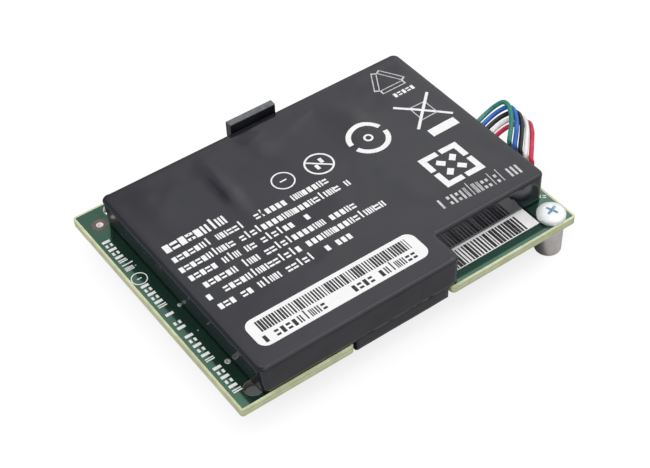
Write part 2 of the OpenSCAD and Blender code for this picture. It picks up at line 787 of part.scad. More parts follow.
module header_pins() color("#cdb36a") on_board() header_places() {
    translate([-pin_s / 2, -pin_s / 2, -header_base_h - header_pin_l])
        cube([pin_s, pin_s, header_base_h + header_pin_l]);
    translate([-pin_s / 2, -pin_s / 2, -0.25]) cube([header_pitch / 2 + 1.2, pin_s, 0.25]);
}

// ---------------------------------------------------------------- underside parts

// Places a part on the underside, at a point measured from the front-left corner
module below(at, turn = 0) {
    on_board() translate([at[0], at[1], under]) rotate([0, 0, turn]) children();
}

module charger_chip() color("#1f1f21") below(charger_at)
    translate([-charger_s / 2, -charger_s / 2, -charger_t]) cube([charger_s, charger_s, charger_t]);

// Moulded package of a chip, held off the board by its leads
module package(size) {
    translate([-size[0] / 2, -size[1] / 2, -size[2]]) cube([size[0], size[1], size[2] - chip_gap]);
}

module gauge_chip() color("#1f1f21") below(gauge_at) package(gauge_size);

module gauge_leads() color("#cfcfcb") below(gauge_at)
    wing_rows(gauge_n, gauge_pitch, gauge_w / 2, gauge_wing_w, gauge_wing_l, gauge_t, gauge_wing_t);

module small_wings() wing_rows(4, small_pitch, small_size[1] / 2, small_wing_w, small_wing_l,
                               small_size[2], small_wing_t);

module memory_chip() color("#1f1f21") below(memory_at) package(small_size);
module memory_leads() color("#cfcfcb") below(memory_at) small_wings();

module switch_transistors() for (at = switch_at) color("#1f1f21") below(at) package(small_size);
module transistor_leads() for (at = switch_at) color("#cfcfcb") below(at) small_wings();

// Shield of the inductor, a square ring with cut corners
module power_inductor() color("#3c3d40") below(coil_at) difference() {
    translate([0, 0, -coil_h]) linear_extrude(coil_h) intersection() {
        square(coil_s, center = true);
        rotate(45) square(coil_s * 1.25, center = true);
    }
    translate([0, 0, -coil_h - 1]) cylinder(d = coil_s * 0.84, h = coil_h + 0.6);
}

module inductor_core() color("#55565a") below(coil_at)
    translate([0, 0, -coil_h + 0.15]) cylinder(d = coil_s * 0.78, h = coil_h - 0.15 - 0.4);

module rectifier_diode() color("#1f1f21") below(diode_at) package(diode_size);

// Tabs of the diode, bent down its ends and back under it
module diode_tabs() color("#cfcfcb") below(diode_at) {
    tab_w = 1.5;
    tab_t = 0.2;
    tab_z = diode_size[2] / 2;
    for (s = [0, 180]) rotate([0, 0, s]) translate([diode_size[0] / 2, -tab_w / 2, 0]) {
        translate([0, 0, -tab_z - tab_t]) cube([2 * tab_t, tab_w, tab_t]);
        translate([tab_t, 0, -tab_z]) cube([tab_t, tab_w, tab_z]);
        translate([-0.6, 0, -chip_gap]) cube([0.6 + 2 * tab_t, tab_w, chip_gap]);
    }
}

module bulk_capacitors() for (at = bulk_at) color("#a88763") below(at) chip_body(bulk_size);
module bulk_capacitor_ends() for (at = bulk_at) color("#cfcfcb") below(at) chip_ends(bulk_size);
module small_capacitors() for (at = cap_at) color("#a88763") below(at, 90) chip_body(cap_size);
module small_capacitor_ends() for (at = cap_at) color("#cfcfcb") below(at, 90) chip_ends(cap_size);
module chip_resistors() for (at = resistor_at) color("#18181a") below(at, 90) chip_body(resistor_size);
module resistor_ends() for (at = resistor_at) color("#cfcfcb") below(at, 90) chip_ends(resistor_size);

// ---------------------------------------------------------------- nodes

main_board();
battery_carrier();
film_wrap();
battery_cell();
cell_terminal();
cell_pad();
insulating_sheet();
protection_board();
protection_chips();
protection_parts();
thermal_fuse();
strip_terminal();
strip_fuse();
strip_can();
pack_label();
board_label();
lead_green();
lead_blue();
lead_black();
lead_white();
lead_red();
lead_plug();
board_socket();
socket_pins();
mounting_screw();
standoff();
header_base();
header_pins();
charger_chip();
gauge_chip();
gauge_leads();
memory_chip();
memory_leads();
switch_transistors();
transistor_leads();
power_inductor();
inductor_core();
rectifier_diode();
diode_tabs();
bulk_capacitors();
bulk_capacitor_ends();
small_capacitors();
small_capacitor_ends();
chip_resistors();
resistor_ends();
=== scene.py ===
"""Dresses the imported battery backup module: film-wrapped pack, circuit board, leads and fasteners.

Sizes in the classes below are millimetres, measured from the board's front left corner on its top
face. Datum turns them into metres in the part's frame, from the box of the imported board.
"""

import logging
import math
import random
from contextlib import contextmanager
from dataclasses import dataclass
from enum import Enum
from typing import Any, Callable, Iterator, Mapping, Optional, Sequence

import bpy
import bmesh
from mathutils import Matrix, Vector, noise
from mathutils.geometry import delaunay_2d_cdt


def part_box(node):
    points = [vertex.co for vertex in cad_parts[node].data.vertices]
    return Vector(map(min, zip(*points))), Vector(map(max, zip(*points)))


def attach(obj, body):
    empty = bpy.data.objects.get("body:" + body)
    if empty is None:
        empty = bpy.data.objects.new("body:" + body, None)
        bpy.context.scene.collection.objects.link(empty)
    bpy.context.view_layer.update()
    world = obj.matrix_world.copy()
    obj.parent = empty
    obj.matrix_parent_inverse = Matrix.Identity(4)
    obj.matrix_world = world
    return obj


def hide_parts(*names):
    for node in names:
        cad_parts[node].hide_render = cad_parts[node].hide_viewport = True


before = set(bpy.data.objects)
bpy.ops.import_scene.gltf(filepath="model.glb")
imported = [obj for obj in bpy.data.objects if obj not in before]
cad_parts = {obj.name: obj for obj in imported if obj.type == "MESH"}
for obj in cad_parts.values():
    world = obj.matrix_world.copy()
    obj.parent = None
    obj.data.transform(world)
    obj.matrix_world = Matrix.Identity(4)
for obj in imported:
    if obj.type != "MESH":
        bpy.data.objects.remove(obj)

logging.basicConfig(level=logging.INFO, format="%(message)s")
log = logging.getLogger("battery_module")

BODY = "root"
MM = 0.001
TOUCH = 1e-7
WHITE = (1.0, 1.0, 1.0)

Point2 = tuple[float, float]
Point3 = tuple[float, float, float]
Colour = tuple[float, float, float]
Outline = Sequence[Point2]
HeightAt = Callable[[float, float], float]
Object = bpy.types.Object
Material = bpy.types.Material
Tree = bpy.types.NodeTree
Node = bpy.types.Node
Socket = bpy.types.NodeSocket


# ---------------------------------------------------------------- measuring and meshes


@dataclass(frozen=True)
class Datum:
    """The board's front left corner on its top face, in the part's frame."""

    origin: Vector

    @classmethod
    def of_board(cls, node: str) -> "Datum":
        """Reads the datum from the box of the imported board."""
        low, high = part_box(node)
        return cls(Vector((low.x, low.y, high.z)))

    def at(self, x: float, y: float, z: float) -> Vector:
        """Turns a place on the board in millimetres into metres in the part's frame."""
        return self.origin + Vector((x, y, z)) * MM

    def back(self, place: Vector) -> Vector:
        """Turns a place in metres back into millimetres on the board."""
        return (place - self.origin) / MM


def new_object(name: str, data: bpy.types.ID) -> Object:
    """Makes an object at the origin and puts it in the scene."""
    made = bpy.data.objects.new(name, data)
    bpy.context.scene.collection.objects.link(made)
    return made


@contextmanager
def editing(mesh: bpy.types.Mesh) -> Iterator[bmesh.types.BMesh]:
    """Opens a mesh for editing and writes it back at the end."""
    work = bmesh.new()
    work.from_mesh(mesh)
    yield work
    work.to_mesh(mesh)
    work.free()


def seen_from(azimuth: float, elevation: float) -> Vector:
    """Gives the direction away from the module, in degrees from its front and its floor."""
    a, e = math.radians(azimuth), math.radians(elevation)
    return Vector((math.sin(a) * math.cos(e), -math.cos(a) * math.cos(e), math.sin(e)))


def turned(point: Point2, centre: Point2, angle: float) -> Point2:
    """Turns a point by an angle in radians and moves it to a centre."""
    x, y = point
    return (centre[0] + x * math.cos(angle) - y * math.sin(angle),
            centre[1] + x * math.sin(angle) + y * math.cos(angle))


class Workshop:
    """Makes plain mesh objects whose place is in their mesh."""

    def __init__(self, datum: Datum) -> None:
        """Keeps the datum that every mesh is placed from."""
        self.datum = datum

    def mesh(self, name: str, points: Sequence[Sequence[float]], faces: Sequence[Sequence[int]],
             smooth: bool = True, merge: float = 0.0, outward: bool = False) -> Object:
        """Makes an object from points in millimetres.

        Args:
            name: Name of the object.
            points: Places on the board, in millimetres.
            faces: Corner numbers of each face.
            smooth: Whether the faces are shaded smooth.
            merge: Distance in millimetres within which corners are joined, or 0.
            outward: Whether the faces are turned to point outwards.

        Returns:
            The object, at the origin.
        """
        mesh = bpy.data.meshes.new(name)
        mesh.from_pydata([self.datum.at(*p) for p in points], [], [list(f) for f in faces])
        if merge or outward:
            with editing(mesh) as work:
                if merge:
                    bmesh.ops.remove_doubles(work, verts=work.verts, dist=merge * MM)
                if outward:
                    bmesh.ops.recalc_face_normals(work, faces=work.faces)
        mesh.polygons.foreach_set("use_smooth", [smooth] * len(mesh.polygons))
        mesh.update()
        return new_object(name, mesh)

    def bake(self, source: Object, name: str) -> Object:
        """Turns an object with modifiers into a plain mesh and removes the source.

        Args:
            source: Object whose modifiers are applied.
            name: Name of the plain mesh object.

        Returns:
            The plain mesh object, at the origin.
        """
        graph = bpy.context.evaluated_depsgraph_get()
        mesh = bpy.data.meshes.new_from_object(source.evaluated_get(graph), depsgraph=graph)
        mesh.name = name
        bpy.data.objects.remove(source)
        return new_object(name, mesh)

    def join(self, name: str, pieces: Sequence[Object]) -> Object:
        """Joins plain mesh objects into one and removes them."""
        work = bmesh.new()
        materials: list[Material] = []
        for piece in pieces:
            first = len(work.faces)
            work.from_mesh(piece.data)
            work.faces.ensure_lookup_table()
            slots = list(piece.data.materials)
            materials += [m for m in slots if m not in materials]
            for face in work.faces[first:]:
                if slots:
                    face.material_index = materials.index(slots[face.material_index])
        mesh = bpy.data.meshes.new(name)
        work.to_mesh(mesh)
        work.free()
        for material in materials:
            mesh.materials.append(material)
        for piece in pieces:
            bpy.data.objects.remove(piece)
        return new_object(name, mesh)

    def slab(self, name: str, outlines: Sequence[Outline], low: float,
             high: float) -> Object:
        """Makes a flat plate from closed outlines, where an inner outline is a hole.

        Args:
            name: Name of the object.
            outlines: Closed outlines in millimetres.
            low: Height of the underside.
            high: Height of the top face.

        Returns:
            The plate as a plain mesh object.
        """
        curve = bpy.data.curves.new(name, "CURVE")
        curve.dimensions = "2D"
        curve.fill_mode = "BOTH"
        curve.extrude = (high - low) / 2
        for outline in outlines:
            spline = curve.splines.new("POLY")
            spline.points.add(len(outline) - 1)
            for point, (x, y) in zip(spline.points, outline):
                point.co = (x, y, 0, 1)
            spline.use_cyclic_u = True
        plate = self.bake(new_object(name, curve), name)
        middle = (high + low) / 2
        for vertex in plate.data.vertices:
            x, y, z = vertex.co
            vertex.co = self.datum.at(x, y, z + middle)
        with editing(plate.data) as work:
            bmesh.ops.remove_doubles(work, verts=work.verts, dist=TOUCH)
            bmesh.ops.recalc_face_normals(work, faces=work.faces)
        return plate

    @staticmethod
    def refine(piece: Object, longest: float) -> None:
        """Splits the long edges of a thin plate, so that it can follow a curved surface.

        Args:
            piece: Plate to split.
            longest: Longest edge to leave, in millimetres.
        """
        with editing(piece.data) as work:
            for _ in range(4):
                bmesh.ops.triangulate(work, faces=work.faces)
                long = [e for e in work.edges if e.calc_length() > longest * MM]
                if not long:
                    break
                bmesh.ops.subdivide_edges(work, edges=long, cuts=1, use_grid_fill=True)
            bmesh.ops.triangulate(work, faces=work.faces)

    def lathe(self, name: str, profile: Sequence[Point2], centre: Point2,
              sides: int = 48) -> Object:
        """Turns a profile about an upright axis.

        Args:
            name: Name of the object.
            profile: Radius and height of each ring, where a radius of 0 closes a pole.
            centre: Place of the axis on the board.
            sides: Number of points round the axis.

        Returns:
            The turned piece.
        """
        points: list[Point3] = []
        faces: list[list[int]] = []
        for radius, height in profile:
            for k in range(sides):
                angle = 2 * math.pi * k / sides
                points.append((centre[0] + radius * math.cos(angle),
                               centre[1] + radius * math.sin(angle), height))
        for ring in range(len(profile) - 1):
            for k in range(sides):
                n = (k + 1) % sides
                faces.append([ring * sides + k, ring * sides + n,
                              (ring + 1) * sides + n, (ring + 1) * sides + k])
        return self.mesh(name, points, faces, merge=0.0005, outward=True)


def circle(centre: Point2, radius: float, sides: int = 32) -> list[Point2]:
    """Gives the points of a circle."""
    return [(centre[0] + radius * math.cos(2 * math.pi * k / sides),
             centre[1] + radius * math.sin(2 * math.pi * k / sides)) for k in range(sides)]


def arc(centre: Point2, radius: float, first: float, last: float, steps: int = 6) -> list[Point2]:
    """Gives the points of an arc between two angles in degrees."""
    return [(centre[0] + radius * math.cos(math.radians(first + (last - first) * k / steps)),
             centre[1] + radius * math.sin(math.radians(first + (last - first) * k / steps)))
            for k in range(steps + 1)]


def hoop(centre: Point2, outer: float, inner: float, sides: int) -> list[Outline]:
    """Gives a circle and the hole in it."""
    return [circle(centre, outer, sides), circle(centre, inner, sides)]


def bar(first: Point2, last: Point2, width: float) -> list[Point2]:
    """Gives the outline of a straight bar of that width between two points."""
    run = Vector(last) - Vector(first)
    side = Vector((-run.y, run.x)).normalized() * width / 2
    a, b = Vector(first), Vector(last)
    return [tuple(a + side), tuple(a - side), tuple(b - side), tuple(b + side)]


def box_outline(x0: float, y0: float, x1: float, y1: float, inset: float) -> list[Point2]:
    """Gives the outline of a box, drawn in by a distance."""
    d = inset
    return [(x0 + d, y0 + d), (x1 - d, y0 + d), (x1 - d, y1 - d), (x0 + d, y1 - d)]


def soften(piece: Object, width: float, segments: int = 2, angle: float = 35) -> None:
    """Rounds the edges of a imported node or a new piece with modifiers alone.

    Args:
        piece: Object whose edges are rounded.
        width: Width of the rounding in millimetres.
        segments: Number of steps across the rounding.
        angle: Smallest angle in degrees of an edge that is rounded.
    """
    weld = piece.modifiers.new("weld", "WELD")
    weld.merge_threshold = 2e-6
    bevel = piece.modifiers.new("rounding", "BEVEL")
    bevel.width = width * MM
    bevel.segments = segments
    bevel.limit_method = "ANGLE"
    bevel.angle_limit = math.radians(angle)
    bevel.use_clamp_overlap = True


def settle(piece: Object, slot: str, *nodes: str) -> Object:
    """Makes a finished piece ride on the body and hides the nodes it stands for."""
    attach(piece, BODY)
    if nodes:
        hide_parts(*nodes)
    log.info("piece %s: %d faces", piece.name, len(piece.data.polygons))
    return piece


# ---------------------------------------------------------------- node trees


class Graph:
    """Adds nodes to one tree and links them."""

    def __init__(self, tree: Tree) -> None:
        """Keeps the tree that nodes are added to."""
        self.tree = tree
        self.column = 0

    def add(self, kind: str, inputs: Optional[Mapping[Any, Any]] = None,
            **settings: Any) -> Node:
        """Adds a node, sets its settings and fills its inputs.

        Args:
            kind: Type name of the node.
            inputs: Input name or number, with a value or the socket that feeds it.
            **settings: Properties of the node.

        Returns:
            The new node.
        """
        node = self.tree.nodes.new(kind)
        node.location = (self.column, 0)
        self.column += 180
        for name, value in settings.items():
            setattr(node, name, value)
        for key, value in (inputs or {}).items():
            socket = node.inputs[key]
            if isinstance(value, Socket):
                self.tree.links.new(value, socket)
            elif isinstance(value, tuple) and len(value) == 3 and socket.type == "RGBA":
                socket.default_value = (*value, 1.0)
            else:
                socket.default_value = value
        return node

    def link(self, source: Socket, target: Socket) -> None:
        """Links two sockets."""
        self.tree.links.new(source, target)

    def noise(self, place: Socket, scale: Any, detail: float, **more: float) -> Socket:
        """Adds a noise texture and gives its value."""
        return self.add("ShaderNodeTexNoise", {"Vector": place, "Scale": scale, "Detail": detail,
                                               **more}).outputs[0]

    def scaled(self, place: Socket, scale: Point3, turn: Point3 = (0.0, 0.0, 0.0)) -> Socket:
        """Scales and turns the place that a texture is read at."""
        return self.add("ShaderNodeMapping", {"Vector": place, "Scale": scale,
                                              "Rotation": turn}).outputs[0]

    def math(self, operation: str, first: Any, second: Any) -> Socket:
        """Adds a sum, product or comparison of two values."""
        return self.add("ShaderNodeMath", {0: first, 1: second}, operation=operation).outputs[0]

    def mix(self, share: Any, first: Any, second: Any) -> Socket:
        """Mixes two values by a share."""
        return self.add("ShaderNodeMix", {0: share, 2: first, 3: second},
                        data_type="FLOAT").outputs[0]

    def blend(self, share: Any, first: Any, second: Any) -> Socket:
        """Mixes two colours by a share."""
        return self.add("ShaderNodeMix", {0: share, 6: first, 7: second},
                        data_type="RGBA").outputs[2]

    def ramp(self, value: Any, low: float, high: float, least: Any = 0.0, most: Any = 1.0,
             soft: bool = False) -> Socket:
        """Spreads the values between low and high over least to most, with soft ends or not."""
        return self.add("ShaderNodeMapRange", {
            "Value": value, "From Min": low, "From Max": high, "To Min": least, "To Max": most},
            interpolation_type="SMOOTHSTEP" if soft else "LINEAR").outputs[0]

    def outside_box(self, place: Socket, centre: Point3, half: Point3, low: float,
                    high: float) -> Socket:
        """Gives 0 within a box and 1 away from it.

        Args:
            place: Socket with the place.
            centre: Middle of the box.
            half: Half of each of its sides.
            low: Distance past a side where the step from 0 begins.
            high: Distance past a side where it reaches 1.

        Returns:
            The socket with the share.
        """
        moved = self.add("ShaderNodeMapping", {"Vector": place,
                                               "Location": tuple(-c for c in centre)})
        span = self.add("ShaderNodeVectorMath", {0: moved.outputs[0]}, operation="ABSOLUTE")
        past = self.add("ShaderNodeVectorMath", {0: span.outputs[0], 1: half},
                        operation="SUBTRACT")
        x, y, z = self.add("ShaderNodeSeparateXYZ", {0: past.outputs[0]}).outputs
        most = self.math("MAXIMUM", self.math("MAXIMUM", x, y), z)
        return self.ramp(most, low, high, soft=True)

    @classmethod
    def of(cls, owner: Any) -> "Graph":
        """Starts an empty tree on a material or on the surroundings."""
        owner.use_nodes = True
        owner.node_tree.nodes.clear()
        return cls(owner.node_tree)


def node_group(kind: str, name: str, inputs: Mapping[str, tuple[str, Any]],
               outputs: Mapping[str, str]) -> tuple[Tree, Graph]:
    """Starts a node group with named sockets.

    Args:
        kind: Shader or Geometry.
        name: Name of the group.
        inputs: Socket name, with its type and the value it starts with.
        outputs: Socket name, with its type.

    Returns:
        The group's tree and a graph to fill it with.
    """
    tree = bpy.data.node_groups.new(name, f"{kind}NodeTree")
    for label, (sort, value) in inputs.items():
        socket = tree.interface.new_socket(label, in_out="INPUT", socket_type=f"NodeSocket{sort}")
        if value is not None:
            socket.default_value = value
    for label, sort in outputs.items():
        tree.interface.new_socket(label, in_out="OUTPUT", socket_type=f"NodeSocket{sort}")
    return tree, Graph(tree)


class SharedEffects:
    """Shader groups that several finishes use, each built once."""

    def __init__(self) -> None:
        """Builds every group."""
        self.mottle = self.build_mottle()
        self.relief = self.build_relief()
        self.specks = self.build_specks()

    @staticmethod
    def build_mottle() -> Tree:
        """Builds the group for cloudy changes of colour and roughness."""
        tree, g = node_group(
            "Shader", "mottle",
            {"Vector": ("Vector", None), "Scale": ("Float", 200.0), "Dark": ("Color", None),
             "Light": ("Color", None), "Smooth": ("Float", 0.3), "Rough": ("Float", 0.4)},
            {"Color": "Color", "Roughness": "Float", "Mask": "Float"})
        given = g.add("NodeGroupInput").outputs
        cloud = g.noise(given["Vector"], given["Scale"], 5.0, Roughness=0.55, Distortion=0.3)
        mask = g.ramp(cloud, 0.3, 0.7, soft=True)
        g.add("NodeGroupOutput", {"Color": g.blend(mask, given["Dark"], given["Light"]),
                                  "Roughness": g.mix(mask, given["Smooth"], given["Rough"]),
                                  "Mask": mask})
        return tree

    @staticmethod
    def build_relief() -> Tree:
        """Builds the group for fine surface relief: grain, and long soft waves."""
        tree, g = node_group(
            "Shader", "relief",
            {"Vector": ("Vector", None), "Grain Scale": ("Float", 4000.0),
             "Wave Scale": ("Float", 300.0), "Wave Share": ("Float", 0.5)},
            {"Height": "Float"})
        given = g.add("NodeGroupInput").outputs
        grain = g.noise(given["Vector"], given["Grain Scale"], 2.0)
        wave = g.noise(given["Vector"], given["Wave Scale"], 1.0)
        g.add("NodeGroupOutput", {"Height": g.mix(given["Wave Share"], grain, wave)})
        return tree

    @staticmethod
    def build_specks() -> Tree:
        """Builds the group for sparse dust specks and pits over a colour."""
        tree, g = node_group(
            "Shader", "specks",
            {"Vector": ("Vector", None), "Scale": ("Float", 900.0), "Size": ("Float", 0.12),
             "Under": ("Color", None), "Speck": ("Color", None)},
            {"Color": "Color", "Mask": "Float"})
        given = g.add("NodeGroupInput").outputs
        cells = g.add("ShaderNodeTexVoronoi", {"Vector": given["Vector"], "Scale": given["Scale"],
                                               "Randomness": 1.0}).outputs
        mask = g.math("MULTIPLY", g.math("GREATER_THAN", cells["Color"], 0.72),
                      g.math("LESS_THAN", cells["Distance"], given["Size"]))
        g.add("NodeGroupOutput", {"Color": g.blend(mask, given["Under"], given["Speck"]),
                                  "Mask": mask})
        return tree


EFFECTS = SharedEffects()


# ---------------------------------------------------------------- finishes


@dataclass(frozen=True)
class Finish:
    """A surface with cloudy colour, uneven gloss and fine relief."""

    name: str
    dark: Colour
    light: Colour
    smooth: float = 0.35
    rough: float = 0.5
    cloud: float = 180.0
    grain: float = 3500.0
    waves: float = 300.0
    wave_share: float = 0.3
    depth: float = 0.01
    metallic: float = 0.0
    ior: float = 1.48
    coat: float = 0.0
    coat_rough: float = 0.05
    stretch: Point3 = (1.0, 1.0, 1.0)
    speck: Optional[Colour] = None
    speck_scale: float = 700.0
    speck_size: float = 0.1

    def build(self) -> Material:
        """Builds the material.

        Returns:
            The finished material.
        """
        material = bpy.data.materials.new(self.name)
        g = Graph.of(material)
        place = g.add("ShaderNodeTexCoord").outputs["Object"]
        place = g.scaled(place, self.stretch)
        mottle = g.add("ShaderNodeGroup", {
            "Vector": place, "Scale": self.cloud, "Dark": self.dark, "Light": self.light,
            "Smooth": self.smooth, "Rough": self.rough}, node_tree=EFFECTS.mottle)
        colour = self.colour(g, place, mottle)
        if self.speck is not None:
            colour = g.add("ShaderNodeGroup", {
                "Vector": place, "Scale": self.speck_scale, "Size": self.speck_size,
                "Under": colour, "Speck": self.speck}, node_tree=EFFECTS.specks).outputs["Color"]
        relief = g.add("ShaderNodeGroup", {
            "Vector": place, "Grain Scale": self.grain, "Wave Scale": self.waves,
            "Wave Share": self.wave_share}, node_tree=EFFECTS.relief)
        bump = g.add("ShaderNodeBump", {
            "Height": self.height(g, place, relief.outputs["Height"]), "Strength": 1.0,
            "Distance": self.depth * MM})
        shader = g.add("ShaderNodeBsdfPrincipled", {
            "Base Color": colour, "Roughness": self.roughness(g, place, mottle),
            "Metallic": self.metallic, "IOR": self.ior, "Coat Weight": self.gloss(g, place),
            "Coat Roughness": self.coat_rough, "Normal": bump.outputs[0]})
        g.add("ShaderNodeOutputMaterial", {"Surface": shader.outputs[0]})
        return material

    def colour(self, g: Graph, place: Socket, mottle: Node) -> Socket:
        """Gives the socket with the surface's colour."""
        return mottle.outputs["Color"]

    def roughness(self, g: Graph, place: Socket, mottle: Node) -> Socket:
        """Gives the socket with the surface's roughness."""
        return mottle.outputs["Roughness"]

    def height(self, g: Graph, place: Socket, relief: Socket) -> Socket:
        """Gives the socket with the surface's relief."""
        return relief

    def gloss(self, g: Graph, place: Socket) -> Any:
        """Gives the share of the clear coat, as a number or a socket."""
        return self.coat


@dataclass(frozen=True)
class LaminateFinish(Finish):
    """Bare glass laminate: pale resin with the lines of its glass cloth."""

    layers: float = 400.0
    resin: Colour = (0.42, 0.40, 0.22)

    def colour(self, g: Graph, place: Socket, mottle: Node) -> Socket:
        """Mixes darker resin between the layers of glass cloth."""
        layers = g.add("ShaderNodeTexWave", {"Vector": place, "Scale": self.layers,
                                             "Distortion": 1.2, "Detail": 2.0,
                                             "Detail Scale": 1.5},
                       wave_type="BANDS", bands_direction="Z")
        share = g.ramp(layers.outputs["Fac"], 0.0, 1.0, most=0.35)
        return g.blend(share, mottle.outputs["Color"], self.resin)


@dataclass(frozen=True)
class MaskFinish(Finish):
    """Solder mask: clear green lacquer over copper and laminate, with a band of painted shade beside
    the board's label, darker and nearly without gloss.
    """

    copper: Colour = (0.042, 0.140, 0.092)
    # painted shade: a darker, nearly matt band on the mask in front of the board's label
    painted_shade_colour: Colour = (0.010, 0.040, 0.027)
    field_scale: float = 90.0
    painted_shade_at: Point3 = (-0.01276, 0.0015, 0.00795)
    painted_shade_half: Point3 = (0.0104, 0.0032, 0.0008)
    painted_shade_step: float = 0.00018
    painted_shade_gloss: float = 0.04

    def outside_painted_shade(self, g: Graph, place: Socket) -> Socket:
        """Gives 0 in the band of painted shade before the recess, round the board's label, and 1
        elsewhere.
        """
        return g.outside_box(place, self.painted_shade_at, self.painted_shade_half, -self.painted_shade_step, self.painted_shade_step)

    def colour(self, g: Graph, place: Socket, mottle: Node) -> Socket:
        """Mixes the lighter green of the mask where copper lies under it, and the darker painted
        shade in the band by the board's label.
        """
        fields = g.add("ShaderNodeTexVoronoi", {"Vector": place, "Scale": self.field_scale},
                       distance="CHEBYCHEV")
        edge = g.ramp(fields.outputs["Distance"], 0.30, 0.36, most=0.55, soft=True)
        green = g.blend(edge, mottle.outputs["Color"], self.copper)
        return g.blend(self.outside_painted_shade(g, place), self.painted_shade_colour, green)

    def gloss(self, g: Graph, place: Socket) -> Any:
        """Takes the gloss away in the band of painted shade by the recess, so that its reflection is
        dimmed as well.
        """
        return g.ramp(self.outside_painted_shade(g, place), 0.0, 1.0, self.painted_shade_gloss, self.coat)


@dataclass(frozen=True)
class FilmFinish(Finish):
    """Printed plastic film: near black, smooth, with hand marks and light scuffs."""

    scuff: Point3 = (260.0, 2600.0, 400.0)
    scuff_turn: Point3 = (0.0, 0.0, 0.5)

    def roughness(self, g: Graph, place: Socket, mottle: Node) -> Socket:
        """Adds fine straight scuffs to the uneven gloss."""
        lines = g.noise(g.scaled(place, self.scuff, self.scuff_turn), 1.0, 3.0)
        return g.math("ADD", mottle.outputs["Roughness"], g.ramp(lines, 0.62, 0.8, most=0.12))


@dataclass(frozen=True)
class CarrierFinish(Finish):
    """Black moulded plastic whose highest edge, the top of the latch, has a painted highlight in a
    paler colour.
    """

    # painted highlight: a paler colour on the latch's top, where the light falls
    lit_top_colour: Colour = (0.17, 0.175, 0.19)
    lit_top_from: float = 0.01548
    lit_top_to: float = 0.01574

    def colour(self, g: Graph, place: Socket, mottle: Node) -> Socket:
        """Mixes a paler colour in towards the top of the latch, as a painted highlight, broken up by
        noise.
        """
        parts = g.add("ShaderNodeSeparateXYZ", {0: place}).outputs
        lit_top_patches = g.noise(place, 900.0, 3.0)
        share = g.math("MULTIPLY", g.ramp(parts[2], self.lit_top_from, self.lit_top_to),
                       g.ramp(lit_top_patches, 0.3, 0.6, least=0.6))
        return g.blend(share, mottle.outputs["Color"], self.lit_top_colour)


@dataclass(frozen=True)
class DrawnMetalFinish(Finish):
    """Metal with fine parallel lines from rolling, drawing or turning."""

    line: Point3 = (6000.0, 300.0, 6000.0)
    line_share: float = 0.6

    def height(self, g: Graph, place: Socket, relief: Socket) -> Socket:
        """Adds the parallel lines to the relief."""
        return g.mix(self.line_share, relief, g.noise(g.scaled(place, self.line), 1.0, 2.0))


def insulation(colour: str, dark: Colour, light: Colour) -> Finish:
    """Gives the finish of a lead's soft plastic insulation."""
    return Finish(f"lead_insulation_{colour}", dark, light, smooth=0.26, rough=0.4, cloud=500.0)


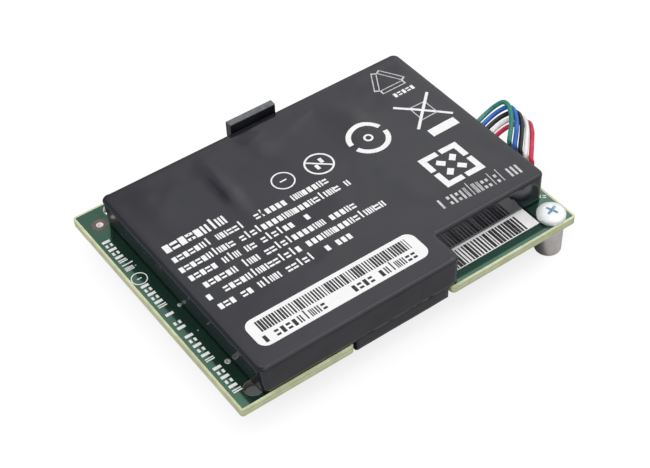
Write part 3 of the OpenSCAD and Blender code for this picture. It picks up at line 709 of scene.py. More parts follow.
class Surface(Enum):
    """Every finish on the module."""

    FILM = FilmFinish("printed_film", (0.0125, 0.0131, 0.0200), (0.0177, 0.0184, 0.0262),
                      smooth=0.09, rough=0.15, cloud=110.0, grain=5200.0, waves=260.0,
                      wave_share=0.75, depth=0.02, ior=1.52, speck=(0.16, 0.16, 0.17),
                      speck_scale=160.0, speck_size=0.035)
    MASK = MaskFinish("solder_mask", (0.020, 0.092, 0.056), (0.030, 0.120, 0.074), smooth=0.12,
                      rough=0.22, cloud=220.0, waves=500.0, wave_share=0.8, depth=0.012,
                      ior=1.50, metallic=0.82, coat=1.0)
    LAMINATE = LaminateFinish("glass_laminate", (0.62, 0.66, 0.40), (0.78, 0.83, 0.54),
                              smooth=0.45, rough=0.6, cloud=420.0, depth=0.02)
    COPPER_RING = Finish("masked_copper_ring", (0.13, 0.080, 0.068), (0.20, 0.135, 0.115),
                         smooth=0.15, rough=0.28, cloud=900.0)
    # painted shade: the bore's wall is much darker than the laminate it is drilled through
    SHADED_BORE = Finish("drilled_wall_painted_shade", (0.060, 0.056, 0.045), (0.120, 0.112, 0.092), smooth=0.4,
                  rough=0.6, cloud=700.0, depth=0.02)
    TRACE = Finish("masked_trace", (0.030, 0.125, 0.080), (0.045, 0.160, 0.105), smooth=0.14,
                   rough=0.24, cloud=500.0, depth=0.006, ior=1.50, metallic=0.7, coat=1.0)
    TINNED = Finish("tinned_pad", (0.70, 0.71, 0.72), (0.86, 0.87, 0.88), smooth=0.26,
                    rough=0.42, cloud=900.0, depth=0.03, metallic=0.6)
    SOLDER = Finish("bright_solder", (0.90, 0.90, 0.89), (0.97, 0.97, 0.96), smooth=0.24,
                    rough=0.38, cloud=1200.0, depth=0.01)
    SILK = Finish("silkscreen_ink", (0.86, 0.89, 0.87), (0.95, 0.96, 0.95), smooth=0.5,
                  rough=0.65, cloud=1500.0, depth=0.01)
    WHITE_PRINT = Finish("white_print", (0.90, 0.90, 0.91), (0.97, 0.97, 0.97), smooth=0.35,
                         rough=0.5, cloud=700.0, depth=0.006)
    FAINT_PRINT = Finish("faint_print", (0.50, 0.50, 0.52), (0.70, 0.70, 0.72), smooth=0.35,
                         rough=0.5, cloud=900.0, depth=0.006)
    PAPER = Finish("label_paper", (0.90, 0.90, 0.91), (0.95, 0.95, 0.95), smooth=0.42,
                   rough=0.55, cloud=500.0, grain=7000.0, depth=0.008,
                   speck=(0.62, 0.62, 0.62), speck_scale=1100.0, speck_size=0.06)
    BLACK_PRINT = Finish("black_print", (0.012, 0.012, 0.014), (0.03, 0.03, 0.034), smooth=0.4,
                         rough=0.6, cloud=1800.0, depth=0.004)
    CARRIER = CarrierFinish("moulded_carrier", (0.009, 0.009, 0.011), (0.014, 0.014, 0.017),
                            smooth=0.28, rough=0.42, cloud=260.0, grain=3000.0, depth=0.02,
                            ior=1.38, speck=(0.05, 0.05, 0.055), speck_scale=500.0,
                            speck_size=0.05)
    IVORY = Finish("ivory_plastic", (0.70, 0.66, 0.55), (0.80, 0.77, 0.67), smooth=0.3,
                   rough=0.42, cloud=300.0, depth=0.008)
    ZINC = DrawnMetalFinish("zinc_plate", (0.92, 0.94, 0.95), (0.97, 0.98, 0.99), smooth=0.34,
                            rough=0.46, cloud=600.0, depth=0.006, metallic=0.25,
                            line=(900.0, 900.0, 9000.0))
    ZINC_RECESS = Finish("zinc_recess", (0.46, 0.68, 0.80), (0.64, 0.83, 0.92), smooth=0.34,
                         rough=0.5, cloud=800.0, depth=0.006, metallic=0.4)
    NICKEL_TURNED = DrawnMetalFinish("turned_nickel", (0.76, 0.72, 0.70), (0.90, 0.86, 0.83),
                                     smooth=0.34, rough=0.46, cloud=350.0, depth=0.012,
                                     metallic=1.0, line=(200.0, 200.0, 9000.0))
    NICKEL_STRIP = DrawnMetalFinish("nickel_strip", (0.60, 0.59, 0.56), (0.74, 0.73, 0.70),
                                    smooth=0.3, rough=0.42, cloud=300.0, depth=0.01,
                                    metallic=1.0)
    CELL_CAN = DrawnMetalFinish("drawn_aluminium", (0.60, 0.61, 0.63), (0.74, 0.75, 0.77),
                                smooth=0.32, rough=0.44, cloud=120.0, depth=0.012,
                                metallic=1.0, line=(300.0, 6000.0, 6000.0))
    PIN_GOLD = Finish("gold_pin", (0.72, 0.50, 0.18), (0.86, 0.66, 0.30), smooth=0.2,
                      rough=0.32, cloud=700.0, depth=0.004, metallic=1.0)
    EPOXY = Finish("chip_epoxy", (0.018, 0.018, 0.020), (0.034, 0.034, 0.037), smooth=0.5,
                   rough=0.66, cloud=500.0, grain=9000.0, depth=0.02,
                   speck=(0.07, 0.07, 0.075), speck_scale=2600.0, speck_size=0.16)
    FERRITE = Finish("ferrite", (0.040, 0.041, 0.043), (0.075, 0.076, 0.080), smooth=0.45,
                     rough=0.6, cloud=600.0, grain=6000.0, depth=0.03,
                     speck=(0.16, 0.16, 0.17), speck_scale=2200.0, speck_size=0.12)
    CERAMIC = Finish("capacitor_ceramic", (0.34, 0.23, 0.13), (0.44, 0.31, 0.19), smooth=0.34,
                     rough=0.5, cloud=900.0, depth=0.008)
    FUSE = Finish("fuse_case", (0.46, 0.42, 0.28), (0.58, 0.54, 0.38), smooth=0.4, rough=0.55,
                  cloud=600.0, depth=0.01)
    FOAM = Finish("foam_pad", (0.66, 0.63, 0.54), (0.80, 0.77, 0.69), smooth=0.8, rough=0.95,
                  cloud=900.0, grain=5000.0, depth=0.08, speck=(0.45, 0.43, 0.36),
                  speck_scale=1800.0, speck_size=0.22)
    FIBRE = Finish("fibre_sheet", (0.30, 0.33, 0.25), (0.42, 0.44, 0.36), smooth=0.7,
                   rough=0.88, cloud=400.0, depth=0.03, stretch=(1.0, 4.0, 1.0))
    LEAD_GREEN = insulation("green", (0.024, 0.210, 0.150), (0.048, 0.300, 0.225))
    LEAD_BLUE = insulation("blue", (0.018, 0.120, 0.50), (0.038, 0.190, 0.68))
    LEAD_BLACK = insulation("black", (0.012, 0.012, 0.014), (0.022, 0.022, 0.026))
    LEAD_WHITE = insulation("white", (0.92, 0.93, 0.92), (0.97, 0.97, 0.97))
    LEAD_RED = insulation("red", (0.56, 0.014, 0.055), (0.74, 0.032, 0.095))


class FinishShelf:
    """Builds each material once and hands it out."""

    def __init__(self) -> None:
        """Starts with no material built."""
        self.built: dict[Surface, Material] = {}

    def take(self, surface: Surface) -> Material:
        """Gives the material of a surface, built on its first use."""
        if surface not in self.built:
            self.built[surface] = surface.value.build()
        return self.built[surface]

    def dress(self, piece: Object, surface: Surface) -> Object:
        """Puts one material on the whole of a piece."""
        material = self.take(surface)
        if piece.material_slots:
            for slot in piece.material_slots:
                slot.material = material
        else:
            piece.data.materials.append(material)
        return piece


# ---------------------------------------------------------------- studio


@dataclass
class Studio:
    """Camera, pale floor, white surroundings and soft lamps."""

    datum: Datum
    aim: Point3 = (33.85, 23.84, 0.0)
    distance: float = 257.54
    azimuth: float = -34.58
    elevation: float = 45.49
    roll: float = -2.22
    lens: float = 80.24
    surround: float = 0.62
    gloss_surround: float = 0.30
    shade_inset: Point2 = (0.0030, 0.0054)
    shade_step: float = 0.0014
    floor_half: float = 3.0
    floor_colour: Colour = (0.26, 0.26, 0.263)
    # painted shadow: the floor glows less under the board, to the camera and to other rays
    glow_seen_painted_shadow: Point2 = (0.045, 0.80)
    glow_cast_painted_shadow: Point2 = (0.01, 0.22)
    lamps: tuple[tuple[Any, ...], ...] = (
        ("key", -70.0, 58.0, 0.9, 0.55, 2.2, False),
        ("top", 20.0, 80.0, 0.9, 0.7, 1.6, False),
        ("back_dim", 118.0, 45.0, 0.92, 1.25, 1.6, True),
        ("back_wide", 107.0, 45.0, 0.9, 1.25, 1.6, True),
        ("back_narrow", 102.0, 45.0, 0.88, 1.0, 0.9, True),
        ("front", 32.0, 44.0, 0.86, 1.35, 5.0, True))

    def camera(self) -> None:
        """Places the camera at the viewing angle."""
        a, r = math.radians(self.azimuth), math.radians(self.roll)
        back = seen_from(self.azimuth, self.elevation)
        side = Vector((math.cos(a), math.sin(a), 0.0))
        up = back.cross(side)
        turned_side = side * math.cos(r) + up * math.sin(r)
        turned_up = up * math.cos(r) - side * math.sin(r)
        data = bpy.data.cameras.new("camera")
        data.sensor_width = 36.0
        data.lens = self.lens
        data.clip_start, data.clip_end = 0.005, 20.0
        camera = new_object("camera", data)
        turn = Matrix((turned_side, turned_up, back)).transposed().to_4x4()
        place = self.datum.at(*self.aim) + back * self.distance * MM
        camera.matrix_world = Matrix.Translation(place) @ turn
        bpy.context.scene.camera = camera

    @staticmethod
    def white_for_camera(g: Graph) -> Socket:
        """Gives 1 for rays from the camera and from glass, and 0 for the rest."""
        path = g.add("ShaderNodeLightPath").outputs
        return g.math("MAXIMUM", path["Is Camera Ray"], path["Is Transmission Ray"])

    def world(self) -> None:
        """Makes the surroundings white to the eye and softer as a light."""
        world = bpy.data.worlds.new("studio")
        g = Graph.of(world)
        path = g.add("ShaderNodeLightPath").outputs
        around = g.mix(path["Is Glossy Ray"], self.surround, self.gloss_surround)
        light = g.add("ShaderNodeBackground", {
            "Color": WHITE, "Strength": g.mix(self.white_for_camera(g), around, 1.0)})
        g.add("ShaderNodeOutputWorld", {"Surface": light.outputs[0]})
        bpy.context.scene.world = world

    def floor(self) -> None:
        """Lays a pale floor that glows and keeps the shadow; the glow is turned down under the
        board, a painted shadow there for the camera and in reflections.
        """
        z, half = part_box("standoff")[0].z, self.floor_half
        mesh = bpy.data.meshes.new("floor")
        mesh.from_pydata([(-half, -half, z), (half, -half, z), (half, half, z), (-half, half, z)],
                         [], [[0, 1, 2, 3]])
        piece = new_object("floor", mesh)
        material = bpy.data.materials.new("floor")
        g = Graph.of(material)
        path = g.add("ShaderNodeLightPath").outputs
        matt = g.add("ShaderNodeBsdfDiffuse", {"Color": self.floor_colour})
        seen_glow_painted_shadow = g.mix(self.away_from_board(g, self.shade_inset), *self.glow_seen_painted_shadow)
        cast_glow_painted_shadow = g.mix(self.away_from_board(g, (0.0, 0.0)), *self.glow_cast_painted_shadow)
        glow = g.add("ShaderNodeEmission", {
            "Color": WHITE, "Strength": g.mix(path["Is Camera Ray"], cast_glow_painted_shadow, seen_glow_painted_shadow)})
        both = g.add("ShaderNodeAddShader", {0: matt.outputs[0], 1: glow.outputs[0]})
        g.add("ShaderNodeOutputMaterial", {"Surface": both.outputs[0]})
        mesh.materials.append(material)

    def away_from_board(self, g: Graph, inset: Point2) -> Socket:
        """Gives 0 on the floor under the board, where the shadow is painted, and 1 beside it, with a
        soft step between.

        Args:
            g: Graph of the floor's material.
            inset: Distance in metres from the board's sides and ends to the step.

        Returns:
            The socket with the share.
        """
        low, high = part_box("main_board")
        middle, half = (low + high) / 2, (high - low) / 2
        place = g.add("ShaderNodeTexCoord").outputs["Object"]
        return g.outside_box(place, (middle.x, middle.y, 0.0),
                             (half.x - inset[0], half.y - inset[1], 1.0), -self.shade_step, 0.0)

    def lamp(self, name: str, azimuth: float, elevation: float, reach: float, size: float,
             power: float, seen_in_gloss: bool) -> None:
        """Hangs one soft square lamp that faces the module.

        Args:
            name: Name of the lamp.
            azimuth: Direction in degrees from the front, positive to the right.
            elevation: Height in degrees above the floor.
            reach: Distance in metres.
            size: Side of the lamp in metres.
            power: Power in watts.
            seen_in_gloss: Whether it only shows in glossy surfaces, or only lights them.
        """
        away = seen_from(azimuth, elevation)
        data = bpy.data.lights.new(name, "AREA")
        data.shape = "SQUARE"
        data.size = size
        data.energy = power
        lamp = new_object(name, data)
        lamp.location = self.datum.at(*self.aim) + away * reach
        lamp.rotation_mode = "QUATERNION"
        lamp.rotation_quaternion = away.to_track_quat("Z", "Y")
        lamp.visible_glossy = seen_in_gloss
        lamp.visible_diffuse = not seen_in_gloss

    def build(self) -> None:
        """Sets up the whole studio."""
        self.camera()
        self.world()
        self.floor()
        for name, *values in self.lamps:
            self.lamp(name, *values)
        bpy.context.scene.view_settings.view_transform = "Standard"


# ---------------------------------------------------------------- printing


class RowKind(Enum):
    """Kinds of printed row."""

    BARS = "bars"
    MARKS = "marks"


@dataclass(frozen=True)
class PrintedRow:
    """One row of plain bars or marks, from the start of its base line to the end.

    Args:
        first: Start of the base line.
        last: End of the base line.
        height: Height of the row.
        pitch: Distance between bars or marks.
        seed: Fixed seed of the row.
        spread: Width of a mark.
        gaps: Share of the marks that are left out.
        thin: Width of the thinnest bar.
        thick: Width of the thickest bar.
        kind: Whether the row is bars or marks.
    """

    first: Point2
    last: Point2
    height: float
    pitch: float
    seed: int
    spread: float = 1.0
    gaps: float = 0.0
    thin: float = 0.16
    thick: float = 0.52
    kind: RowKind = RowKind.MARKS


def level(z: float) -> HeightAt:
    """Gives the surface of a flat face at a height."""
    return lambda _x, _y: z


class PrintPress:
    """Prints rows of plain bars and marks with Geometry Nodes, and single plain shapes."""

    longest = 0.7

    def __init__(self, shop: Workshop) -> None:
        """Builds the trees once."""
        self.shop = shop
        self.bars = self.build_bars()
        self.marks = self.build_marks()

    @staticmethod
    def start(name: str, inputs: Mapping[str, tuple[str, Any]]) -> tuple[Tree,
                                                                      Graph, Any, Socket]:
        """Starts a tree with the inputs that both kinds of row have, and its line of points.

        Args:
            name: Name of the tree.
            inputs: Further socket names, with their types and first values.

        Returns:
            The tree, a graph to fill it with, its inputs and the line of points.
        """
        tree, g = node_group("Geometry", name, {
            "Geometry": ("Geometry", None), "Count": ("Int", 40), "Pitch": ("Float", 0.8),
            "Height": ("Float", 3.0), "Depth": ("Float", 0.02), "Seed": ("Int", 1),
            "Material": ("Material", None), **inputs}, {"Geometry": "Geometry"})
        given = g.add("NodeGroupInput").outputs
        pitch = g.add("ShaderNodeCombineXYZ", {0: given["Pitch"]})
        row = g.add("GeometryNodeMeshLine", {"Count": given["Count"],
                                             "Offset": pitch.outputs[0]}, mode="OFFSET")
        return tree, g, given, row.outputs[0]

    @staticmethod
    def stamp(g: Graph, given: Any, width: Socket, placing: Mapping[str, Any]) -> None:
        """Ends a tree: sizes the stamps, places them, makes them real and inks them.

        Args:
            g: Graph of the tree.
            given: Inputs of the tree.
            width: Width of each stamp.
            placing: Points and stamps of the row.
        """
        size = g.add("ShaderNodeCombineXYZ", {0: width, 1: given["Height"], 2: given["Depth"]})
        placed = g.add("GeometryNodeInstanceOnPoints", {**placing, "Scale": size.outputs[0]})
        real = g.add("GeometryNodeRealizeInstances", {0: placed.outputs[0]})
        inked = g.add("GeometryNodeSetMaterial", {"Geometry": real.outputs[0],
                                                  "Material": given["Material"]})
        g.add("NodeGroupOutput", {0: inked.outputs[0]})

    def build_bars(self) -> Tree:
        """Builds the tree for a row of upright bars of uneven width."""
        tree, g, given, row = self.start("bar_row", {"Thin": ("Float", 0.15),
                                                     "Thick": ("Float", 0.5)})
        width = g.add("FunctionNodeRandomValue", {2: given["Thin"], 3: given["Thick"],
                                                  "Seed": given["Seed"]}, data_type="FLOAT")
        cube = g.add("GeometryNodeMeshCube", {"Size": (1.0, 1.0, 1.0)})
        self.stamp(g, given, width.outputs[1], {"Points": row, "Instance": cube.outputs[0]})
        return tree

    @staticmethod
    def stroke(g: Graph, width: float, height: float, x: float,
               y: float) -> Socket:
        """Adds one straight stroke of a mark, as shares of the mark's height."""
        block = g.add("GeometryNodeMeshCube", {"Size": (width, height, 1.0)})
        moved = g.add("GeometryNodeTransform", {"Geometry": block.outputs[0],
                                                "Translation": (x, y, 0.0)})
        return moved.outputs[0]

    def build_marks(self) -> Tree:
        """Builds the tree for a row of small plain marks in uneven groups."""
        tree, g, given, row = self.start("mark_row", {"Spread": ("Float", 1.0),
                                                      "Gaps": ("Float", 0.16)})
        gap = g.add("FunctionNodeRandomValue", {"Probability": given["Gaps"],
                                                "Seed": given["Seed"]}, data_type="BOOLEAN")
        kept = g.add("GeometryNodeDeleteGeometry", {"Geometry": row, "Selection": gap.outputs[3]},
                     domain="POINT")
        kinds = [
            [(0.2, 1.1, 0.0, 0.55)],
            [(0.2, 0.84, -0.18, 0.42), (0.2, 0.84, 0.18, 0.42)],
            [(0.5, 0.78, 0.0, 0.39)],
            [(0.17, 0.84, -0.26, 0.42), (0.17, 0.84, 0.02, 0.42), (0.17, 0.84, 0.3, 0.42)],
            [(0.6, 0.24, 0.0, 0.16), (0.6, 0.24, 0.0, 0.62)],
        ]
        shapes = g.add("GeometryNodeJoinGeometry")
        for strokes in reversed(kinds):
            whole = g.add("GeometryNodeJoinGeometry")
            for part in strokes:
                g.link(self.stroke(g, *part), whole.inputs[0])
            one = g.add("GeometryNodeGeometryToInstance", {0: whole.outputs[0]})
            g.link(one.outputs[0], shapes.inputs[0])
        pick = g.add("FunctionNodeRandomValue", {4: 0, 5: len(kinds) - 1, "Seed": 7},
                     data_type="INT")
        self.stamp(g, given, given["Spread"], {
            "Points": kept.outputs[0], "Instance": shapes.outputs[0], "Pick Instance": True,
            "Instance Index": pick.outputs[2]})
        return tree

    def run(self, tree: Tree, name: str,
            values: Mapping[str, Any]) -> Object:
        """Runs a tree once and keeps its result as a plain mesh.

        Args:
            tree: Geometry tree to run.
            name: Name of the result.
            values: Value of each named input.

        Returns:
            The plain mesh, in millimetres about its own start.
        """
        holder = new_object(name, bpy.data.meshes.new(name))
        modifier = holder.modifiers.new("press", "NODES")
        modifier.node_group = tree
        keys = {s.name: s.identifier for s in tree.interface.items_tree
                if s.item_type == "SOCKET" and s.in_out == "INPUT"}
        for label, value in values.items():
            modifier[keys[label]] = value
        return self.shop.bake(holder, name)

    def row(self, row: PrintedRow, surface: HeightAt, material: Material,
            depth: float) -> Object:
        """Prints one row on a surface.

        Args:
            row: What the row is.
            surface: Gives the height of the surface at a place.
            material: Ink of the row.
            depth: Thickness of the ink.

        Returns:
            The printed row.
        """
        run = Vector(row.last) - Vector(row.first)
        count = max(2, round(run.length / row.pitch))
        bars = row.kind is RowKind.BARS
        made = self.run(self.bars if bars else self.marks, "printed_row", {
            "Count": count, "Pitch": run.length / count, "Height": row.height, "Depth": depth,
            "Seed": row.seed, "Material": material,
            **({"Thin": row.thin, "Thick": row.thick} if bars
               else {"Spread": row.spread, "Gaps": row.gaps})})
        lift = row.height / 2 if bars else 0.0
        along = run.normalized()
        across = Vector((-along.y, along.x))
        for vertex in made.data.vertices:
            x, y, z = vertex.co
            place = Vector(row.first) + along * x + across * (y + lift)
            vertex.co = self.shop.datum.at(place.x, place.y, z + surface(place.x, place.y))
        return made

    def shape(self, outlines: Sequence[Outline], surface: HeightAt,
              material: Material, depth: float) -> Object:
        """Prints one plain shape on a surface.

        Args:
            outlines: Closed outlines, where an inner outline is a hole.
            surface: Gives the height of the surface at a place.
            material: Ink of the shape.
            depth: Thickness of the ink.

        Returns:
            The printed shape.
        """
        plate = self.shop.slab("printed_shape", outlines, -depth / 2, depth)
        self.shop.refine(plate, self.longest)
        for vertex in plate.data.vertices:
            x, y, _ = self.shop.datum.back(vertex.co)
            vertex.co.z += surface(x, y) * MM
        plate.data.materials.clear()
        plate.data.materials.append(material)
        return plate


# ---------------------------------------------------------------- circuit board


@dataclass
class CircuitBoard:
    """The laminate board, its solder mask, pads, ring and printed marks."""

    shop: Workshop
    press: PrintPress
    shelf: FinishShelf
    length: float = 72.06
    width: float = 55.06
    thickness: float = 1.6
    corner: float = 0.6
    pullback: float = 0.42
    mask: float = 0.03
    front_notch: tuple[float, float, float] = (22.6, 43.6, 1.83)
    rear_notch: tuple[float, float, float] = (31.6, 42.8, 50.66)
    notch_corner: float = 0.8
    holes: tuple[tuple[float, float, float], ...] = (
        (4.2, 2.8, 3.4), (7.0, 52.66, 3.4), (68.56, 2.8, 3.4))
    locating: tuple[float, float, float] = (3.1, 50.46, 1.1)
    via: tuple[float, float, float] = (3.95, 9.95, 0.4)
    ring: float = 2.9
    ring_bore: float = 1.24
    pad: float = 1.15
    sunk: float = 0.005
    ink: float = 0.012
    dots: tuple[tuple[Point2, float], ...] = (
        ((4.25, 25.3), 0.42), ((3.1, 37.9), 0.16), ((3.7, 18.6), 0.16))
    silk_x: float = 1.05
    silk_rows: tuple[tuple[float, float, int], ...] = (
        (46.0, 36.8, 11), (32.7, 25.9, 12), (24.6, 19.6, 13), (18.5, 10.9, 14), (9.9, 2.9, 15))
    silk_ring: Point2 = (1.95, 34.75)
    silk_right: PrintedRow = PrintedRow((70.0, 7.4), (71.4, 6.3), 1.1, 0.8, 3, spread=1.1)

    def outline(self, inset: float) -> list[Point2]:
        """Gives the board's outline drawn in by a distance, with both notches."""
        d, m = inset, self.notch_corner
        fx0, fx1, fy = self.front_notch
        rx0, rx1, ry = self.rear_notch
        r = max(self.corner - d, 0.12)
        c = d + r
        points = arc((c, c), r, 180, 270)
        points += arc((fx0 - m, m), m - d, 270, 360)
        points += [(fx0 - d, fy + d), (fx1 + d, fy + d)]
        points += arc((fx1 + m, m), m - d, 180, 270)
        points += arc((self.length - c, c), r, 270, 360)
        points += arc((self.length - c, self.width - c), r, 0, 90)
        points += arc((rx1 + m, self.width - m), m - d, 90, 180)
        points += [(rx1 + d, ry - d), (rx0 - d, ry - d)]
        points += arc((rx0 - m, self.width - m), m - d, 0, 90)
        points += arc((c, self.width - c), r, 90, 180)
        return points

    def mask_sheet(self, name: str, low: float, high: float) -> Object:
        """Makes one sheet of solder mask with its openings."""
        openings = [circle((x, y), d / 2 + 0.03) for x, y, d in self.holes]
        openings.append(circle(self.locating[:2], self.locating[2] / 2 + 0.05))
        openings.append(circle(self.via[:2], self.via[2] / 2))
        sheet = self.shop.slab(name, [self.outline(self.pullback), *openings], low, high)
        return self.shelf.dress(sheet, Surface.MASK)

    def build(self) -> None:
        """Builds and dresses the board."""
        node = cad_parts["main_board"]
        soften(node, 0.05)
        self.shelf.dress(node, Surface.LAMINATE)
        under = -self.thickness
        settle(self.mask_sheet("solder_mask_top", -self.sunk, self.mask), "board")
        settle(self.mask_sheet("solder_mask_underside", under - self.mask, under + self.sunk),
               "board")
        centre = self.locating[:2]
        ring = self.shop.slab("locating_ring", [circle(centre, self.ring / 2, 40),
                                                circle(centre, self.ring_bore / 2)],
                              0.0, self.mask + 0.008)
        settle(self.shelf.dress(ring, Surface.COPPER_RING), "board")
        self.linings()
        self.pads(self.mask)
        self.marks()
        Underside(self.shop, self.press, self.shelf).build()

    def linings(self) -> None:
        """Lines the locating hole with bright tin, and the screw holes with a thin wall, the front
        two in a dark finish that paints shade into their bores.
        """
        x, y, hole = self.locating
        bore, wall, low, top = hole / 2, hole / 2 - 0.1, -self.thickness - 0.02, self.mask
        barrel = self.shop.lathe("locating_barrel", [
            (wall, low), (bore, low), (bore, top), (bore + 0.12, top + 0.012),
            (bore + 0.08, top + 0.03), (wall, top + 0.03), (wall, low)], (x, y), 36)
        settle(self.shelf.dress(barrel, Surface.SOLDER), "pin_tin")
        for k, (x, y, hole) in enumerate(self.holes):
            bore, wall, low = hole / 2, hole / 2 - 0.04, -self.thickness - 0.01
            lining = self.shop.lathe(f"hole_lining_{k + 1}", [
                (wall, low), (bore, low), (bore, 0.0), (wall, 0.0), (wall, low)], (x, y))
            finish = Surface.SOLDER if y > self.width / 2 else Surface.SHADED_BORE
            settle(self.shelf.dress(lining, finish), "board")

    def pads(self, top: float) -> None:
        """Makes the tinned pad and the solder dots that show beside the pack."""
        x, y, hole = self.via
        bore, rim = hole / 2, self.pad / 2
        made = [self.shop.lathe("via_pad", [
            (bore, top - 0.02), (rim, top - 0.02), (rim, top + 0.02), (bore + 0.08, top + 0.05),
            (bore, top + 0.01), (bore, top - 0.02)], (x, y), 28)]
        for place, r in self.dots:
            made.append(self.shop.lathe("solder_dot", [
                (0.0, top - 0.01), (r, top - 0.01), (r * 0.92, top + r * 0.16),
                (r * 0.6, top + r * 0.3), (0.0, top + r * 0.36)], place, 20))
        settle(self.shelf.dress(self.shop.join("tinned_pads", made), Surface.TINNED), "pin_tin")

    def marks(self) -> None:
        """Prints the plain marks on the board's left side and beside the screw."""
        given = level(self.mask), self.shelf.take(Surface.SILK), self.ink
        x, (cx, cy) = self.silk_x, self.silk_ring
        prints = [self.press.row(PrintedRow((x, a), (x, b), 1.95, 1.18, seed, spread=1.25,
                                            gaps=0.06), *given)
                  for a, b, seed in self.silk_rows]
        prints.append(self.press.shape(hoop((cx, cy), 1.5, 1.3, 36), *given))
        prints.append(self.press.shape([bar((cx - 0.45, cy), (cx + 0.45, cy), 0.2)], *given))
        prints.append(self.press.row(self.silk_right, *given))
        settle(self.shop.join("silk_marks", prints), "board")


@dataclass
class Underside:
    """Traces, pads and printed outlines on the board's lower face."""

    shop: Workshop
    press: PrintPress
    shelf: FinishShelf
    face: float = -1.63
    header: Point2 = (25.0, 38.03)
    header_pitch: float = 2.0
    header_rows: int = 10
    pad_size: Point2 = (1.5, 0.9)
    pad_out: float = 1.7
    trace_w: float = 0.28
    trace_end: float = 0.32
    line_w: float = 0.2
    frames: tuple[tuple[float, float, float, float], ...] = (
        (22.2, 27.4, 27.8, 48.6), (43.9, 26.9, 50.1, 33.1), (51.4, 36.4, 58.6, 43.6),
        (42.0, 13.6, 50.0, 22.4), (8.6, 20.6, 15.4, 27.4), (61.4, 27.6, 66.6, 34.4))
    routes: tuple[tuple[Point2, ...], ...] = (
        ((29.0, 31.0), (34.0, 31.0), (37.0, 28.0), (43.4, 28.0)),
        ((29.0, 33.0), (34.6, 33.0), (37.6, 30.0), (43.4, 30.0)),
        ((29.0, 35.0), (35.2, 35.0), (38.2, 32.0), (43.4, 32.0)),
        ((29.0, 37.0), (36.0, 37.0), (40.0, 41.0), (50.8, 41.0)),
        ((29.0, 39.0), (35.0, 39.0), (38.6, 42.6), (50.8, 42.6)),
        ((21.0, 31.0), (17.0, 31.0), (12.0, 28.0)),
        ((21.0, 33.0), (16.0, 33.0), (10.4, 28.0)),
        ((21.0, 35.0), (12.0, 35.0), (6.6, 29.6), (6.6, 16.0), (12.6, 10.0), (20.0, 10.0)),
        ((46.0, 23.0), (46.0, 26.2)), ((48.0, 23.0), (48.0, 26.2)),
        ((50.8, 29.0), (57.0, 29.0), (58.6, 30.6), (60.6, 30.6)),
        ((58.0, 17.0), (52.0, 17.0)), ((58.0, 19.0), (52.0, 19.0)),
        ((13.0, 19.8), (13.0, 15.0), (17.0, 11.0), (41.2, 14.6)))

    def build(self) -> None:
        """Builds and dresses what lies on the lower face."""
        lower = level(self.face)
        copper, tin, ink = (self.shelf.take(s)
                            for s in (Surface.TRACE, Surface.TINNED, Surface.SILK))
        lines = [self.press.shape([bar(a, b, self.trace_w)], lower, copper, 0.008)
                 for route in self.routes for a, b in zip(route[:-1], route[1:])]
        lines += [self.press.shape([circle(place, self.trace_end, 16)], lower, copper, 0.010)
                  for route in self.routes for place in route]
        settle(self.shop.join("underside_traces", lines), "board")
        x0, y0 = self.header
        long, wide = self.pad_size
        places = [(x0 + side * (self.header_pitch / 2 + self.pad_out),
                   y0 + (k - (self.header_rows - 1) / 2) * self.header_pitch)
                  for k in range(self.header_rows) for side in (-1, 1)]
        pads = [self.press.shape([bar((x - long / 2, y), (x + long / 2, y), wide)], lower, tin,
                                 0.012) for x, y in places]
        settle(self.shop.join("underside_pads", pads), "pin_tin")
        outlines = [self.press.shape([box_outline(*f, 0.0), box_outline(*f, self.line_w)],
                                     lower, ink, 0.014) for f in self.frames]
        settle(self.shop.join("underside_outlines", outlines), "board")


# ---------------------------------------------------------------- film wrap


@dataclass(frozen=True)
class Dent:
    """A soft hollow, or a rise where its depth is negative, in the film's top."""

    x: float
    y: float
    long: float
    wide: float
    turn: float
    depth: float

    def height(self, x: float, y: float) -> float:
        """Gives how far the dent moves the film at a place."""
        a = math.radians(self.turn)
        dx, dy = x - self.x, y - self.y
        u = (dx * math.cos(a) + dy * math.sin(a)) / self.long
        v = (-dx * math.sin(a) + dy * math.cos(a)) / self.wide
        return -self.depth * math.exp(-(u * u + v * v))


